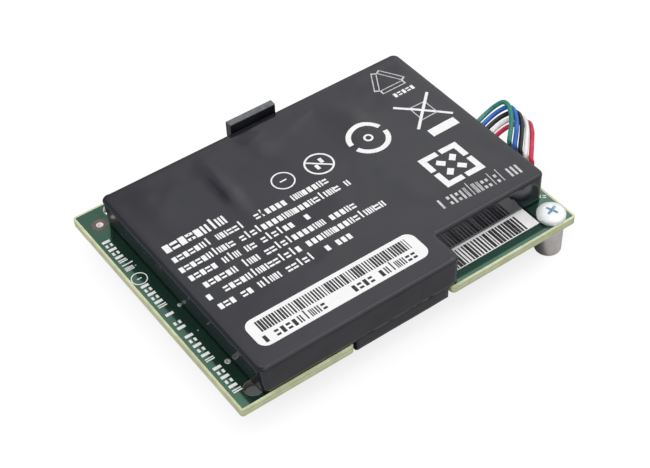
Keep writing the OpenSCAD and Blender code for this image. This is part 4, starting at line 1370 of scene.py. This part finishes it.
@dataclass
class FilmWrap:
    """The glossy film round the pack, with its folds, openings, dents and prints."""

    shop: Workshop
    press: PrintPress
    shelf: FinishShelf
    x0: float = 4.6
    x1: float = 70.56
    y0: float = 0.4
    y1: float = 50.66
    block_x1: float = 45.46
    recess_y: float = 7.1
    low: float = 0.25
    top: float = 6.25
    corner: float = 1.4
    fold: float = 0.7
    lean: float = 0.56
    inner: float = 0.35
    film: float = 0.2
    step: float = 0.85
    recess_step: float = 0.22
    corner_steps: int = 7
    fold_steps: int = 6
    jitter: float = 0.12
    fade: float = 3.5
    label_fade: float = 2.5
    pull_x: float = 65.6
    pull_half: float = 2.6
    flap: tuple[float, float, float, float] = (23.3, 42.9, -2.25, 0.26)
    lead_window: tuple[float, float, float, float] = (20.42, 27.18, 3.3, 5.1)
    plug_window: tuple[float, float, float] = (11.4, 20.8, 3.2)
    latch_window: tuple[float, float, float] = (32.2, 42.2, 4.0)
    label: tuple[float, float, float, float] = (7.3, 4.0, 42.1, 10.4)
    ink: float = 0.02
    text_size: tuple[float, float] = (1.7, 1.13)
    heading_size: tuple[float, float] = (2.5, 1.55)
    heading: tuple[float, float, float] = (6.9, 19.4, 31.4)
    text: tuple[tuple[float, float, float], ...] = (
        (6.6, 39.2, 28.7), (6.3, 42.1, 25.95), (6.6, 31.5, 23.4), (6.6, 39.4, 20.65),
        (6.6, 43.8, 17.95), (7.1, 34.5, 15.15))
    first_seed: int = 21
    short_row: PrintedRow = PrintedRow((62.6, 39.7), (67.6, 39.7), 1.45, 1.0, 32, spread=1.3)
    pale_row: PrintedRow = PrintedRow((50.6, 11.0), (68.2, 9.7), 3.0, 0.92, 31, spread=0.9,
                                      gaps=0.06)
    split_ring: Point2 = (51.2, 33.8)
    barred_ring: Point2 = (40.0, 33.75)
    small_ring: Point2 = (32.3, 34.1)
    bracket_centre: Point2 = (58.7, 19.05)
    triangle_centre: Point2 = (63.7, 44.6)
    crossed_bars: tuple[tuple[Point2, Point2, float], ...] = (
        ((60.0, 37.7), (67.9, 29.7), 0.56), ((67.9, 37.4), (60.0, 30.1), 0.56),
        ((61.0, 27.8), (67.1, 27.8), 2.0))
    frame_box: tuple[float, float, float, float] = (62.1, 31.6, 65.9, 35.7)
    frame_line: float = 0.22
    dents: tuple[Dent, ...] = (
        Dent(23.0, 37.4, 1.5, 7.2, -2, -0.50), Dent(26.5, 30.5, 2.4, 3.6, -30, -0.14),
        Dent(34.2, 45.4, 2.4, 3.4, 8, -0.36), Dent(51.8, 40.6, 2.6, 5.4, 10, -0.36),
        Dent(45.0, 46.6, 6.0, 1.3, 18, -0.12), Dent(10.5, 38.0, 2.4, 9.0, 4, -0.14),
        Dent(27.5, 13.8, 2.6, 1.8, 0, -0.12), Dent(57.0, 14.5, 7.0, 2.0, -12, -0.10),
        Dent(49.0, 17.5, 2.2, 4.0, 10, -0.14), Dent(63.5, 33.0, 2.2, 5.0, 20, -0.10),
        Dent(66.0, 20.0, 2.0, 6.0, 0, 0.08))

    def stations(self) -> list[tuple[float, float, float, float]]:
        """Gives the points round the outline, each with the direction into the pack."""
        r = self.corner
        found: list[tuple[float, float, float, float]] = []

        def straight(a: Point2, b: Point2, inward: Point2, breaks: Sequence[float] = (),
                     step: float = self.step) -> None:
            """Adds the points between two corners, with some at given places."""
            run = Vector(b) - Vector(a)
            cuts = sorted({0.0, 1.0, *breaks})
            for u0, u1 in zip(cuts[:-1], cuts[1:]):
                count = max(1, round((u1 - u0) * run.length / step))
                for k in range(count):
                    u = u0 + (u1 - u0) * k / count
                    found.append((a[0] + run.x * u, a[1] + run.y * u, *inward))

        def bend(centre: Point2, radius: float, first: float, last: float, sign: float) -> None:
            """Adds the points of a corner, whose inward side is towards or away from it."""
            steps = self.corner_steps
            for k in range(steps):
                t = math.radians(first + (last - first) * k / steps)
                found.append((centre[0] + radius * math.cos(t), centre[1] + radius * math.sin(t),
                              -sign * math.cos(t), -sign * math.sin(t)))

        straight((self.x0 + r, self.y0), (self.block_x1 - r, self.y0), (0, 1))
        bend((self.block_x1 - r, self.y0 + r), r, 270, 360, 1)
        q = self.inner
        straight((self.block_x1, self.y0 + r), (self.block_x1, self.recess_y - q), (-1, 0))
        bend((self.block_x1 + q, self.recess_y - q), q, 180, 90, -1)
        straight((self.block_x1 + q, self.recess_y), (self.x1 - r, self.recess_y), (0, 1),
                 step=self.recess_step)
        bend((self.x1 - r, self.recess_y + r), r, 270, 360, 1)
        side0, side1 = self.recess_y + r, self.y1 - r
        marks = [self.plug_window[0], self.lead_window[0], self.plug_window[1],
                 self.lead_window[1]]
        straight((self.x1, side0), (self.x1, side1), (-1, 0),
                 [(m - side0) / (side1 - side0) for m in marks])
        bend((self.x1 - r, self.y1 - r), r, 0, 90, 1)
        back0, back1 = self.x1 - r, self.x0 + r
        straight((back0, self.y1), (back1, self.y1), (0, -1),
                 [(back0 - m) / (back0 - back1) for m in self.latch_window[1::-1]])
        bend((self.x0 + r, self.y1 - r), r, 90, 180, 1)
        straight((self.x0, self.y1 - r), (self.x0, self.y0 + r), (1, 0))
        bend((self.x0 + r, self.y0 + r), r, 180, 270, 1)
        return found

    def from_edge(self, x: float, y: float) -> float:
        """Gives the distance of a place on top from the nearest outer edge."""
        near = min(x - self.x0 + self.lean, self.x1 - x, y - self.y0, self.y1 - y)
        right, front = self.block_x1 - x, y - self.recess_y
        if right <= 0:
            return min(near, front)
        if front <= 0:
            return min(near, right)
        return min(near, math.hypot(right, front))

    def height(self, x: float, y: float) -> float:
        """Gives the height of the film's top at a place."""
        fade = min(1.0, max(0.0, (self.from_edge(x, y) - self.fold) / self.fade))
        lx0, ly0, lx1, ly1 = self.label
        out = math.hypot(max(lx0 - x, x - lx1, 0.0), max(ly0 - y, y - ly1, 0.0))
        calm = min(1.0, out / self.label_fade)
        fade = fade * fade * (3 - 2 * fade) * calm * calm * (3 - 2 * calm)
        waves = (0.10 * noise.noise(Vector((x * 0.11, y * 0.11, 3.0)))
                 + 0.035 * noise.noise(Vector((x * 0.33, y * 0.33, 8.0))))
        return self.top + fade * (waves + sum(d.height(x, y) for d in self.dents))

    def wall_shift(self, x: float, y: float, z: float) -> float:
        """Gives how far the film's side stands in from its flat place."""
        share = min(1.0, max(0.0, (z - self.low) / (self.top - self.low)))
        crease = noise.noise(Vector((x * 0.55, y * 0.55, z * 0.12)))
        wave = noise.noise(Vector((x * 0.16, y * 0.16, z * 0.3 + 5.0)))
        bulge = math.sin(math.pi * share) * (0.05 * crease + 0.07 * wave) + 0.02 * crease
        if self.in_recess(x, y):
            pleat = noise.noise(Vector((x * 0.55, 2.0, z * 0.05)))
            fold = max(0.0, 1.0 - ((x - self.pull_x) / self.pull_half) ** 2)
            bulge = math.sin(math.pi * share) * (0.03 + 0.012 * pleat - 0.10 * fold)
        return bulge - self.overhang(x) * share ** 1.5

    def in_recess(self, x: float, y: float) -> bool:
        """Tells whether a place on the outline is on the wall over the board's label."""
        return x > self.block_x1 + self.inner - 0.01 and y < self.recess_y + 0.2

    def overhang(self, x: float) -> float:
        """Gives how far the film's top edge stands out past its foot, which is at the left."""
        return self.lean * max(0.0, 1.0 - (x - self.x0) / self.corner)

    def shell(self) -> Object:
        """Makes the film's folded sheet, open below, with its openings cut."""
        ring = self.stations()
        count = len(ring)
        levels = [self.low, 0.8, 1.4, 2.0, 2.6, self.plug_window[2], self.lead_window[2],
                  self.latch_window[2], 4.5, self.lead_window[3], self.top - self.fold]
        points: list[Point3] = []
        faces: list[list[int]] = []
        for z in levels:
            for x, y, nx, ny in ring:
                d = self.wall_shift(x, y, z)
                points.append((x + nx * d, y + ny * d, z))
        rows = len(levels) + self.fold_steps
        for k in range(1, self.fold_steps + 1):
            t = math.pi / 2 * k / self.fold_steps
            z = self.top - self.fold + self.fold * math.sin(t)
            for x, y, nx, ny in ring:
                d = self.fold * (1 - math.cos(t)) - self.overhang(x)
                points.append((x + nx * d, y + ny * d, z))
        for row in range(rows - 1):
            for k in range(count):
                n = (k + 1) % count
                if row < len(levels) - 1 and self.is_open(ring[k], ring[n], levels[row],
                                                          levels[row + 1]):
                    continue
                faces.append([row * count + k, row * count + n, (row + 1) * count + n,
                              (row + 1) * count + k])
        edge = points[-count:]
        inner, cells = self.top_sheet(edge)
        base = len(points)
        points += inner
        faces += [[base + v for v in cell] for cell in cells]
        return self.shop.mesh("film_wrap_shell", points, faces, merge=0.001)

    def is_open(self, a: tuple[float, float, float, float], b: tuple[float, float, float, float],
                low: float, high: float) -> bool:
        """Tells whether a face of the side lies in one of the film's openings."""
        x, y, z = (a[0] + b[0]) / 2, (a[1] + b[1]) / 2, (low + high) / 2
        if x > self.x1 - 0.1:
            y0, y1, z0, z1 = self.lead_window
            if y0 < y < y1 and z0 < z < z1:
                return True
            return self.plug_window[0] < y < self.plug_window[1] and z < self.plug_window[2]
        if y > self.y1 - 0.1:
            return self.latch_window[0] < x < self.latch_window[1] and z < self.latch_window[2]
        return False

    def top_sheet(self, edge: Sequence[Point3]) -> tuple[list[Point3], list[list[int]]]:
        """Fills the top inside the fold with an even net that follows the dents.

        Args:
            edge: Points of the fold's inner edge, in order.

        Returns:
            Points and faces of the top.
        """
        flat = [Vector((p[0], p[1])) for p in edge]
        count = len(flat)
        rng = random.Random(5)
        y = self.y0 + self.fold + self.step / 2
        while y < self.y1 - self.fold:
            x = self.x0 + self.fold + self.step / 2
            while x < self.x1 - self.fold:
                px = x + rng.uniform(-self.jitter, self.jitter)
                py = y + rng.uniform(-self.jitter, self.jitter)
                if self.from_edge(px, py) > self.fold + self.step * 0.55:
                    flat.append(Vector((px, py)))
                x += self.step
            y += self.step
        verts, _, cells, *_ = delaunay_2d_cdt(flat, [], [list(range(count))], 1, 1e-6, False)
        heights = [(v.x, v.y, self.height(v.x, v.y)) for v in verts]
        kept: list[list[int]] = []
        for cell in cells:
            x = sum(verts[v].x for v in cell) / len(cell)
            y = sum(verts[v].y for v in cell) / len(cell)
            if self.from_edge(x, y) > self.fold - 0.05:
                kept.append(list(cell))
        return heights, kept

    def hook_flap(self) -> Object:
        """Makes the strip of film that is glued down the front of the hook."""
        x0, x1, low, high = self.flap
        columns, rows = 28, 6
        points: list[Point3] = []
        faces: list[list[int]] = []
        for j in range(rows + 1):
            for i in range(columns + 1):
                x = x0 + (x1 - x0) * i / columns
                z = low + (high - low) * j / rows
                bow = 0.03 * (1 + noise.noise(Vector((x * 0.4, z * 0.6, 1.0))))
                points.append((x, self.y0 + bow * (1 - j / rows), z))
        for j in range(rows):
            for i in range(columns):
                k = j * (columns + 1) + i
                faces.append([k, k + 1, k + columns + 2, k + columns + 1])
        return self.shop.mesh("hook_flap", points, faces)

    def build(self) -> None:
        """Builds and dresses the film and what is printed on it."""
        wrap = self.shop.join("film_wrap_skin", [self.shell(), self.hook_flap()])
        wall = wrap.modifiers.new("thickness", "SOLIDIFY")
        wall.thickness = self.film * MM
        wall.offset = -1.0
        wrap = self.shop.bake(wrap, "film_wrap_skin")
        settle(self.shelf.dress(wrap, Surface.FILM), "film", "film_wrap")
        self.prints()

    def prints(self) -> None:
        """Prints the plain shapes and rows of marks on the film's top."""
        white = self.height, self.shelf.take(Surface.WHITE_PRINT), self.ink
        faint = self.height, self.shelf.take(Surface.FAINT_PRINT), self.ink
        rows = [(self.heading, self.heading_size)] + [(t, self.text_size) for t in self.text]
        made = [self.press.row(PrintedRow((x0, y), (x1, y), high, pitch, self.first_seed + k,
                                          spread=high * 0.95, gaps=0.14), *white)
                for k, ((x0, x1, y), (high, pitch)) in enumerate(rows)]
        made += [self.press.shape(shape, *white) for shape in self.shapes()]
        pale = [self.press.shape(shape, *faint) for shape in self.triangle(4.2)]
        pale.append(self.press.row(self.pale_row, *faint))
        pale.append(self.press.shape([box_outline(*self.frame_box, 0.0),
                                      box_outline(*self.frame_box, self.frame_line)], *faint))
        made.append(self.press.row(self.short_row, *white))
        settle(self.shop.join("pack_prints", made), "white_label")
        settle(self.shop.join("pack_prints_pale", pale), "white_label")

    def shapes(self) -> list[list[Outline]]:
        """Gives the outlines of every white shape, each a list whose second one is a hole."""
        split, (bx, by), (sx, sy) = self.split_ring, self.barred_ring, self.small_ring
        found: list[list[Outline]] = [
            [arc(split, 4.2, first, last, 24) + arc(split, 3.2, first, last, 24)[::-1]]
            for first, last in ((20, 178), (200, 358))]
        found += [hoop(split, 0.95, 0.55, 24), hoop((bx, by), 2.86, 2.5, 40),
                  [bar((bx - 1.9, by + 1.7), (bx + 1.9, by - 1.7), 0.36)],
                  [bar((bx - 1.1, by - 0.55), (bx - 0.4, by - 0.55), 1.3)],
                  [bar((bx + 0.4, by + 0.55), (bx + 1.1, by + 0.55), 1.3)],
                  hoop((sx, sy), 2.25, 1.98, 36), [bar((sx - 0.7, sy), (sx + 0.7, sy), 0.3)]]
        found += [[bar(first, last, width)] for first, last, width in self.crossed_bars]
        return found + self.bracket_square(4.35, 1.2, 4.0)

    def bracket_square(self, half: float, band: float, reach: float) -> list[list[Outline]]:
        """Gives four corner brackets that frame a square, with a short bar inside each."""
        corner = [(half, half), (half - reach, half), (half - reach, half - band),
                  (half - band, half - band), (half - band, half - reach), (half, half - reach)]
        inner = bar((0.75, 0.75), (1.95, 1.95), band)
        return [[[turned(p, self.bracket_centre, math.pi / 2 * k) for p in outline]]
                for k in range(4) for outline in (corner, inner)]

    def triangle(self, size: float) -> list[list[Outline]]:
        """Gives three bars, with an open middle, that frame a triangle."""
        middle = Vector(self.triangle_centre)
        tips = [Vector((math.cos(t), math.sin(t))) * size
                for t in (math.radians(90 + 120 * k) for k in range(4))]
        found: list[list[Outline]] = []
        for p, q in zip(tips, tips[1:]):
            first, last = p.lerp(q, 0.12), p.lerp(q, 0.88)
            found.append([bar(middle + first, middle + last, 1.15),
                          bar(middle + first.lerp(last, 0.06),
                              middle + first.lerp(last, 0.94), 0.75)])
        return found


# ---------------------------------------------------------------- labels


@dataclass
class Labels:
    """The two white labels with rows of plain bars."""

    shop: Workshop
    press: PrintPress
    shelf: FinishShelf
    pack_face: float = 6.35
    board_face: float = 0.1
    ink: float = 0.01
    pack_rows: tuple[PrintedRow, ...] = (
        PrintedRow((9.4, 7.0), (40.6, 7.0), 2.5, 0.56, 5, kind=RowKind.BARS),
        PrintedRow((8.9, 4.7), (21.6, 4.7), 1.95, 1.15, 41, spread=1.35, gaps=0.08),
        PrintedRow((26.8, 4.7), (40.4, 4.7), 1.95, 1.15, 42, spread=1.35, gaps=0.04))
    board_rows: tuple[PrintedRow, ...] = (
        PrintedRow((46.6, 2.82), (63.6, 2.82), 3.85, 0.72, 9, thin=0.24, thick=0.70,
                   kind=RowKind.BARS),)

    def build(self) -> None:
        """Dresses the labels and prints on them."""
        ink = self.shelf.take(Surface.BLACK_PRINT)
        for node in ("pack_label", "board_label"):
            soften(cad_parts[node], 0.02)
            self.shelf.dress(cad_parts[node], Surface.PAPER)
        printed = ((self.pack_face, self.pack_rows), (self.board_face, self.board_rows))
        prints = [self.press.row(row, level(z), ink, self.ink)
                  for z, rows in printed for row in rows]
        settle(self.shop.join("label_prints", prints), "white_label")


# ---------------------------------------------------------------- leads


@dataclass
class Leads:
    """Five insulated leads from the pack's side down to their plug."""

    shop: Workshop
    shelf: FinishShelf
    colours: tuple[str, ...] = ("green", "blue", "black", "white", "red")
    diameter: float = 0.9
    sides: int = 16
    exit_y: float = 26.4
    exit_pitch: float = 1.3
    plug_y: float = 16.1
    plug_pitch: float = 1.5
    start_x: float = 65.08
    wall_x: float = 70.56
    plug_x: float = 71.73
    entry: float = 2.0
    exit_z: float = 4.2
    plug_z: float = 1.5
    ease: float = 1.14
    first_route: tuple[Point3, ...] = (
        (1.57, -0.06, 4.35), (4.65, -0.14, 4.8), (5.96, -0.07, 5.8), (6.53, 0.06, 6.8),
        (6.08, 0.31, 7.4), (5.11, 0.54, 7.4), (4.42, 0.68, 7.0), (3.59, 0.82, 6.2),
        (2.68, 0.93, 5.3), (1.76, 1.04, 4.2))
    last_route: tuple[Point3, ...] = (
        (1.75, -0.08, 4.2), (4.42, -0.14, 4.1), (6.94, -0.12, 3.8), (8.26, -0.06, 3.8),
        (8.7, 0.05, 3.9), (7.74, 0.24, 4.0), (6.7, 0.4, 4.4), (5.52, 0.55, 4.3),
        (3.95, 0.76, 4.1), (2.2, 0.98, 3.7))
    bend: tuple[Point2, ...] = ((1.37, 1.25), (1.07, 0.15))

    def path(self, number: int) -> list[Vector]:
        """Gives the smoothed centre line of a lead."""
        y0 = self.exit_y - number * self.exit_pitch
        y1 = self.plug_y + (2 - number) * self.plug_pitch
        line = [Vector((self.start_x, y0, self.exit_z)), Vector((self.wall_x, y0, self.exit_z))]
        share = (number / (len(self.colours) - 1)) ** self.ease
        for a, b in zip(self.first_route, self.last_route):
            x, way, z = Vector(a).lerp(Vector(b), share)
            line.append(Vector((self.wall_x + x, y0 + (y1 - y0) * way, z)))
        line += [Vector((self.plug_x + x, y1, self.plug_z + z)) for x, z in self.bend]
        line += [Vector((self.plug_x, y1, self.plug_z)),
                 Vector((self.plug_x - self.entry, y1, self.plug_z))]
        for _ in range(3):
            cut = [line[0]]
            for a, b in zip(line[:-1], line[1:]):
                cut += [a.lerp(b, 0.25), a.lerp(b, 0.75)]
            line = cut + [line[-1]]
        return line

    def tube(self, name: str, line: Sequence[Vector]) -> Object:
        """Makes a closed tube along a centre line."""
        radius = self.diameter / 2
        points: list[Vector] = []
        faces: list[list[int]] = []
        normal = Vector((0.0, 0.0, 1.0))
        for k, place in enumerate(line):
            ahead = (line[min(k + 1, len(line) - 1)] - line[max(k - 1, 0)]).normalized()
            normal = (normal - ahead * normal.dot(ahead)).normalized()
            side = ahead.cross(normal)
            for j in range(self.sides):
                t = 2 * math.pi * j / self.sides
                points.append(place + (normal * math.cos(t) + side * math.sin(t)) * radius)
        n = self.sides
        for k in range(len(line) - 1):
            for j in range(n):
                m = (j + 1) % n
                faces.append([k * n + j, k * n + m, (k + 1) * n + m, (k + 1) * n + j])
        faces.append(list(range(n)))
        faces.append([(len(line) - 1) * n + j for j in range(n)])
        return self.shop.mesh(name, points, faces, outward=True)

    def build(self) -> None:
        """Builds and dresses the five leads."""
        for number, colour in enumerate(self.colours):
            lead = self.tube(f"insulated_lead_{colour}", self.path(number))
            finish = Surface[f"LEAD_{colour.upper()}"]
            settle(self.shelf.dress(lead, finish), f"lead_{colour}", f"lead_{colour}")


# ---------------------------------------------------------------- fasteners


@dataclass
class Fasteners:
    """The pan head screw with its cross recess, and the standoff under it."""

    shop: Workshop
    shelf: FinishShelf
    centre: Point2 = (68.56, 2.8)
    head_d: float = 5.4
    head_h: float = 1.5
    shank_d: float = 2.44
    shank_l: float = 4.0
    recess_w: float = 2.8
    recess_arm: float = 0.54
    recess_depth: float = 1.0
    body_d: float = 5.0
    body_h: float = 6.35
    bore_d: float = 2.5
    bore_l: float = 2.9
    board: float = 1.6
    sides: int = 64
    crown_steps: int = 12
    crown_power: float = 0.6
    brim: float = 0.42
    recess_foot: float = 0.55
    recess_turns: tuple[int, int] = (20, 110)

    def head_profile(self) -> list[Point2]:
        """Gives the profile of the screw from its tip to the middle of its crown."""
        r, h = self.head_d / 2, self.head_h
        profile = [(0.0, -self.shank_l), (self.shank_d / 2 - 0.15, -self.shank_l),
                   (self.shank_d / 2, -self.shank_l + 0.15), (self.shank_d / 2, 0.0),
                   (r - 0.08, 0.0), (r, 0.08), (r, h * self.brim)]
        for k in range(1, self.crown_steps):
            t = math.pi / 2 * k / self.crown_steps
            profile.append((r * math.cos(t) ** self.crown_power,
                            h * self.brim + h * (1 - self.brim) * math.sin(t)))
        return [*profile, (0.0, h)]

    def cross_cutter(self) -> Object:
        """Makes the tapered cross that the recess is cut with."""
        points: list[Point3] = []
        faces: list[list[int]] = []
        top, low = self.head_h + 0.2, self.head_h - self.recess_depth
        a = self.recess_arm / 2
        for turn in self.recess_turns:
            t = math.radians(turn)
            base = len(points)
            for z, reach, half in ((low, self.recess_foot, a * 0.7), (top, self.recess_w / 2, a)):
                for x, y in ((-reach, -half), (reach, -half), (reach, half), (-reach, half)):
                    points.append((*turned((x, y), self.centre, t), z))
            faces += [[base + v for v in f] for f in (
                (3, 2, 1, 0), (4, 5, 6, 7), (0, 1, 5, 4), (1, 2, 6, 5), (2, 3, 7, 6),
                (3, 0, 4, 7))]
        return self.shop.mesh("cross_cutter", points, faces, smooth=False)

    def screw(self) -> Object:
        """Makes the screw and cuts its recess."""
        body = self.shop.lathe("pan_head_screw", self.head_profile(), self.centre, self.sides)
        self.shelf.dress(body, Surface.ZINC)
        tool = self.cross_cutter()
        self.shelf.dress(tool, Surface.ZINC_RECESS)
        cut = body.modifiers.new("recess", "BOOLEAN")
        cut.operation = "DIFFERENCE"
        cut.object = tool
        cut.solver = "EXACT"
        cut.use_self = True
        cut.material_mode = "TRANSFER"
        made = self.shop.bake(body, "pan_head_screw")
        bpy.data.objects.remove(tool)
        return made

    def standoff(self) -> Object:
        """Makes the turned standoff with a threaded hole from each end."""
        base = -self.board - self.body_h
        r, b, c = self.body_d / 2, self.bore_d / 2, 0.25
        profile = [(0.0, base + self.bore_l), (b, base + self.bore_l), (b, base + 0.15),
                   (b + 0.15, base), (r - c, base), (r - c * 0.3, base + c * 0.3), (r, base + c),
                   (r, base + self.body_h - c), (r - c * 0.3, base + self.body_h - c * 0.3),
                   (r - c, base + self.body_h), (b, base + self.body_h),
                   (b, base + self.body_h - self.bore_l), (0.0, base + self.body_h - self.bore_l)]
        return self.shop.lathe("turned_standoff", profile, self.centre, self.sides)

    def build(self) -> None:
        """Builds and dresses the screw and the standoff."""
        settle(self.screw(), "screw_zinc", "mounting_screw")
        post = self.shelf.dress(self.standoff(), Surface.NICKEL_TURNED)
        settle(post, "standoff_nickel", "standoff")


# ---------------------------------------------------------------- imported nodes


class PackedNodes:
    """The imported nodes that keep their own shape, with rounded edges and their finishes."""

    FINISHES: dict[str, tuple[Surface, float]] = {
        "battery_carrier": (Surface.CARRIER, 0.08), "battery_cell": (Surface.CELL_CAN, 0.0),
        "cell_terminal": (Surface.NICKEL_STRIP, 0.03), "cell_pad": (Surface.FOAM, 0.0),
        "insulating_sheet": (Surface.FIBRE, 0.0), "protection_board": (Surface.LAMINATE, 0.02),
        "protection_chips": (Surface.EPOXY, 0.04), "protection_parts": (Surface.CERAMIC, 0.03),
        "thermal_fuse": (Surface.FUSE, 0.05), "strip_terminal": (Surface.NICKEL_STRIP, 0.01),
        "strip_fuse": (Surface.NICKEL_STRIP, 0.01), "strip_can": (Surface.NICKEL_STRIP, 0.01),
        "lead_plug": (Surface.IVORY, 0.08), "board_socket": (Surface.IVORY, 0.08),
        "socket_pins": (Surface.TINNED, 0.02), "header_base": (Surface.EPOXY, 0.08),
        "header_pins": (Surface.PIN_GOLD, 0.05), "charger_chip": (Surface.EPOXY, 0.05),
        "gauge_chip": (Surface.EPOXY, 0.05), "gauge_leads": (Surface.TINNED, 0.02),
        "memory_chip": (Surface.EPOXY, 0.05), "memory_leads": (Surface.TINNED, 0.02),
        "switch_transistors": (Surface.EPOXY, 0.05), "transistor_leads": (Surface.TINNED, 0.02),
        "power_inductor": (Surface.FERRITE, 0.1), "inductor_core": (Surface.FERRITE, 0.05),
        "rectifier_diode": (Surface.EPOXY, 0.06), "diode_tabs": (Surface.TINNED, 0.02),
        "bulk_capacitors": (Surface.CERAMIC, 0.06), "bulk_capacitor_ends": (Surface.TINNED, 0.06),
        "small_capacitors": (Surface.CERAMIC, 0.04),
        "small_capacitor_ends": (Surface.TINNED, 0.04), "chip_resistors": (Surface.EPOXY, 0.03),
        "resistor_ends": (Surface.TINNED, 0.03)}

    def __init__(self, shelf: FinishShelf) -> None:
        """Keeps the shelf of materials."""
        self.shelf = shelf

    def build(self) -> None:
        """Rounds and dresses every node that is listed."""
        for name, (surface, width) in self.FINISHES.items():
            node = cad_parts[name]
            if width:
                soften(node, width)
            self.shelf.dress(node, surface)
            log.info("node %s: %s", name, surface.value.name)


# ---------------------------------------------------------------- main


def main() -> None:
    """Builds the studio and every piece in order."""
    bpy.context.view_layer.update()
    datum = Datum.of_board("main_board")
    Studio(datum).build()
    shop = Workshop(datum)
    shelf = FinishShelf()
    press = PrintPress(shop)
    CircuitBoard(shop, press, shelf).build()
    FilmWrap(shop, press, shelf).build()
    Labels(shop, press, shelf).build()
    Leads(shop, shelf).build()
    Fasteners(shop, shelf).build()
    PackedNodes(shelf).build()


if __name__ == "__main__":
    main()
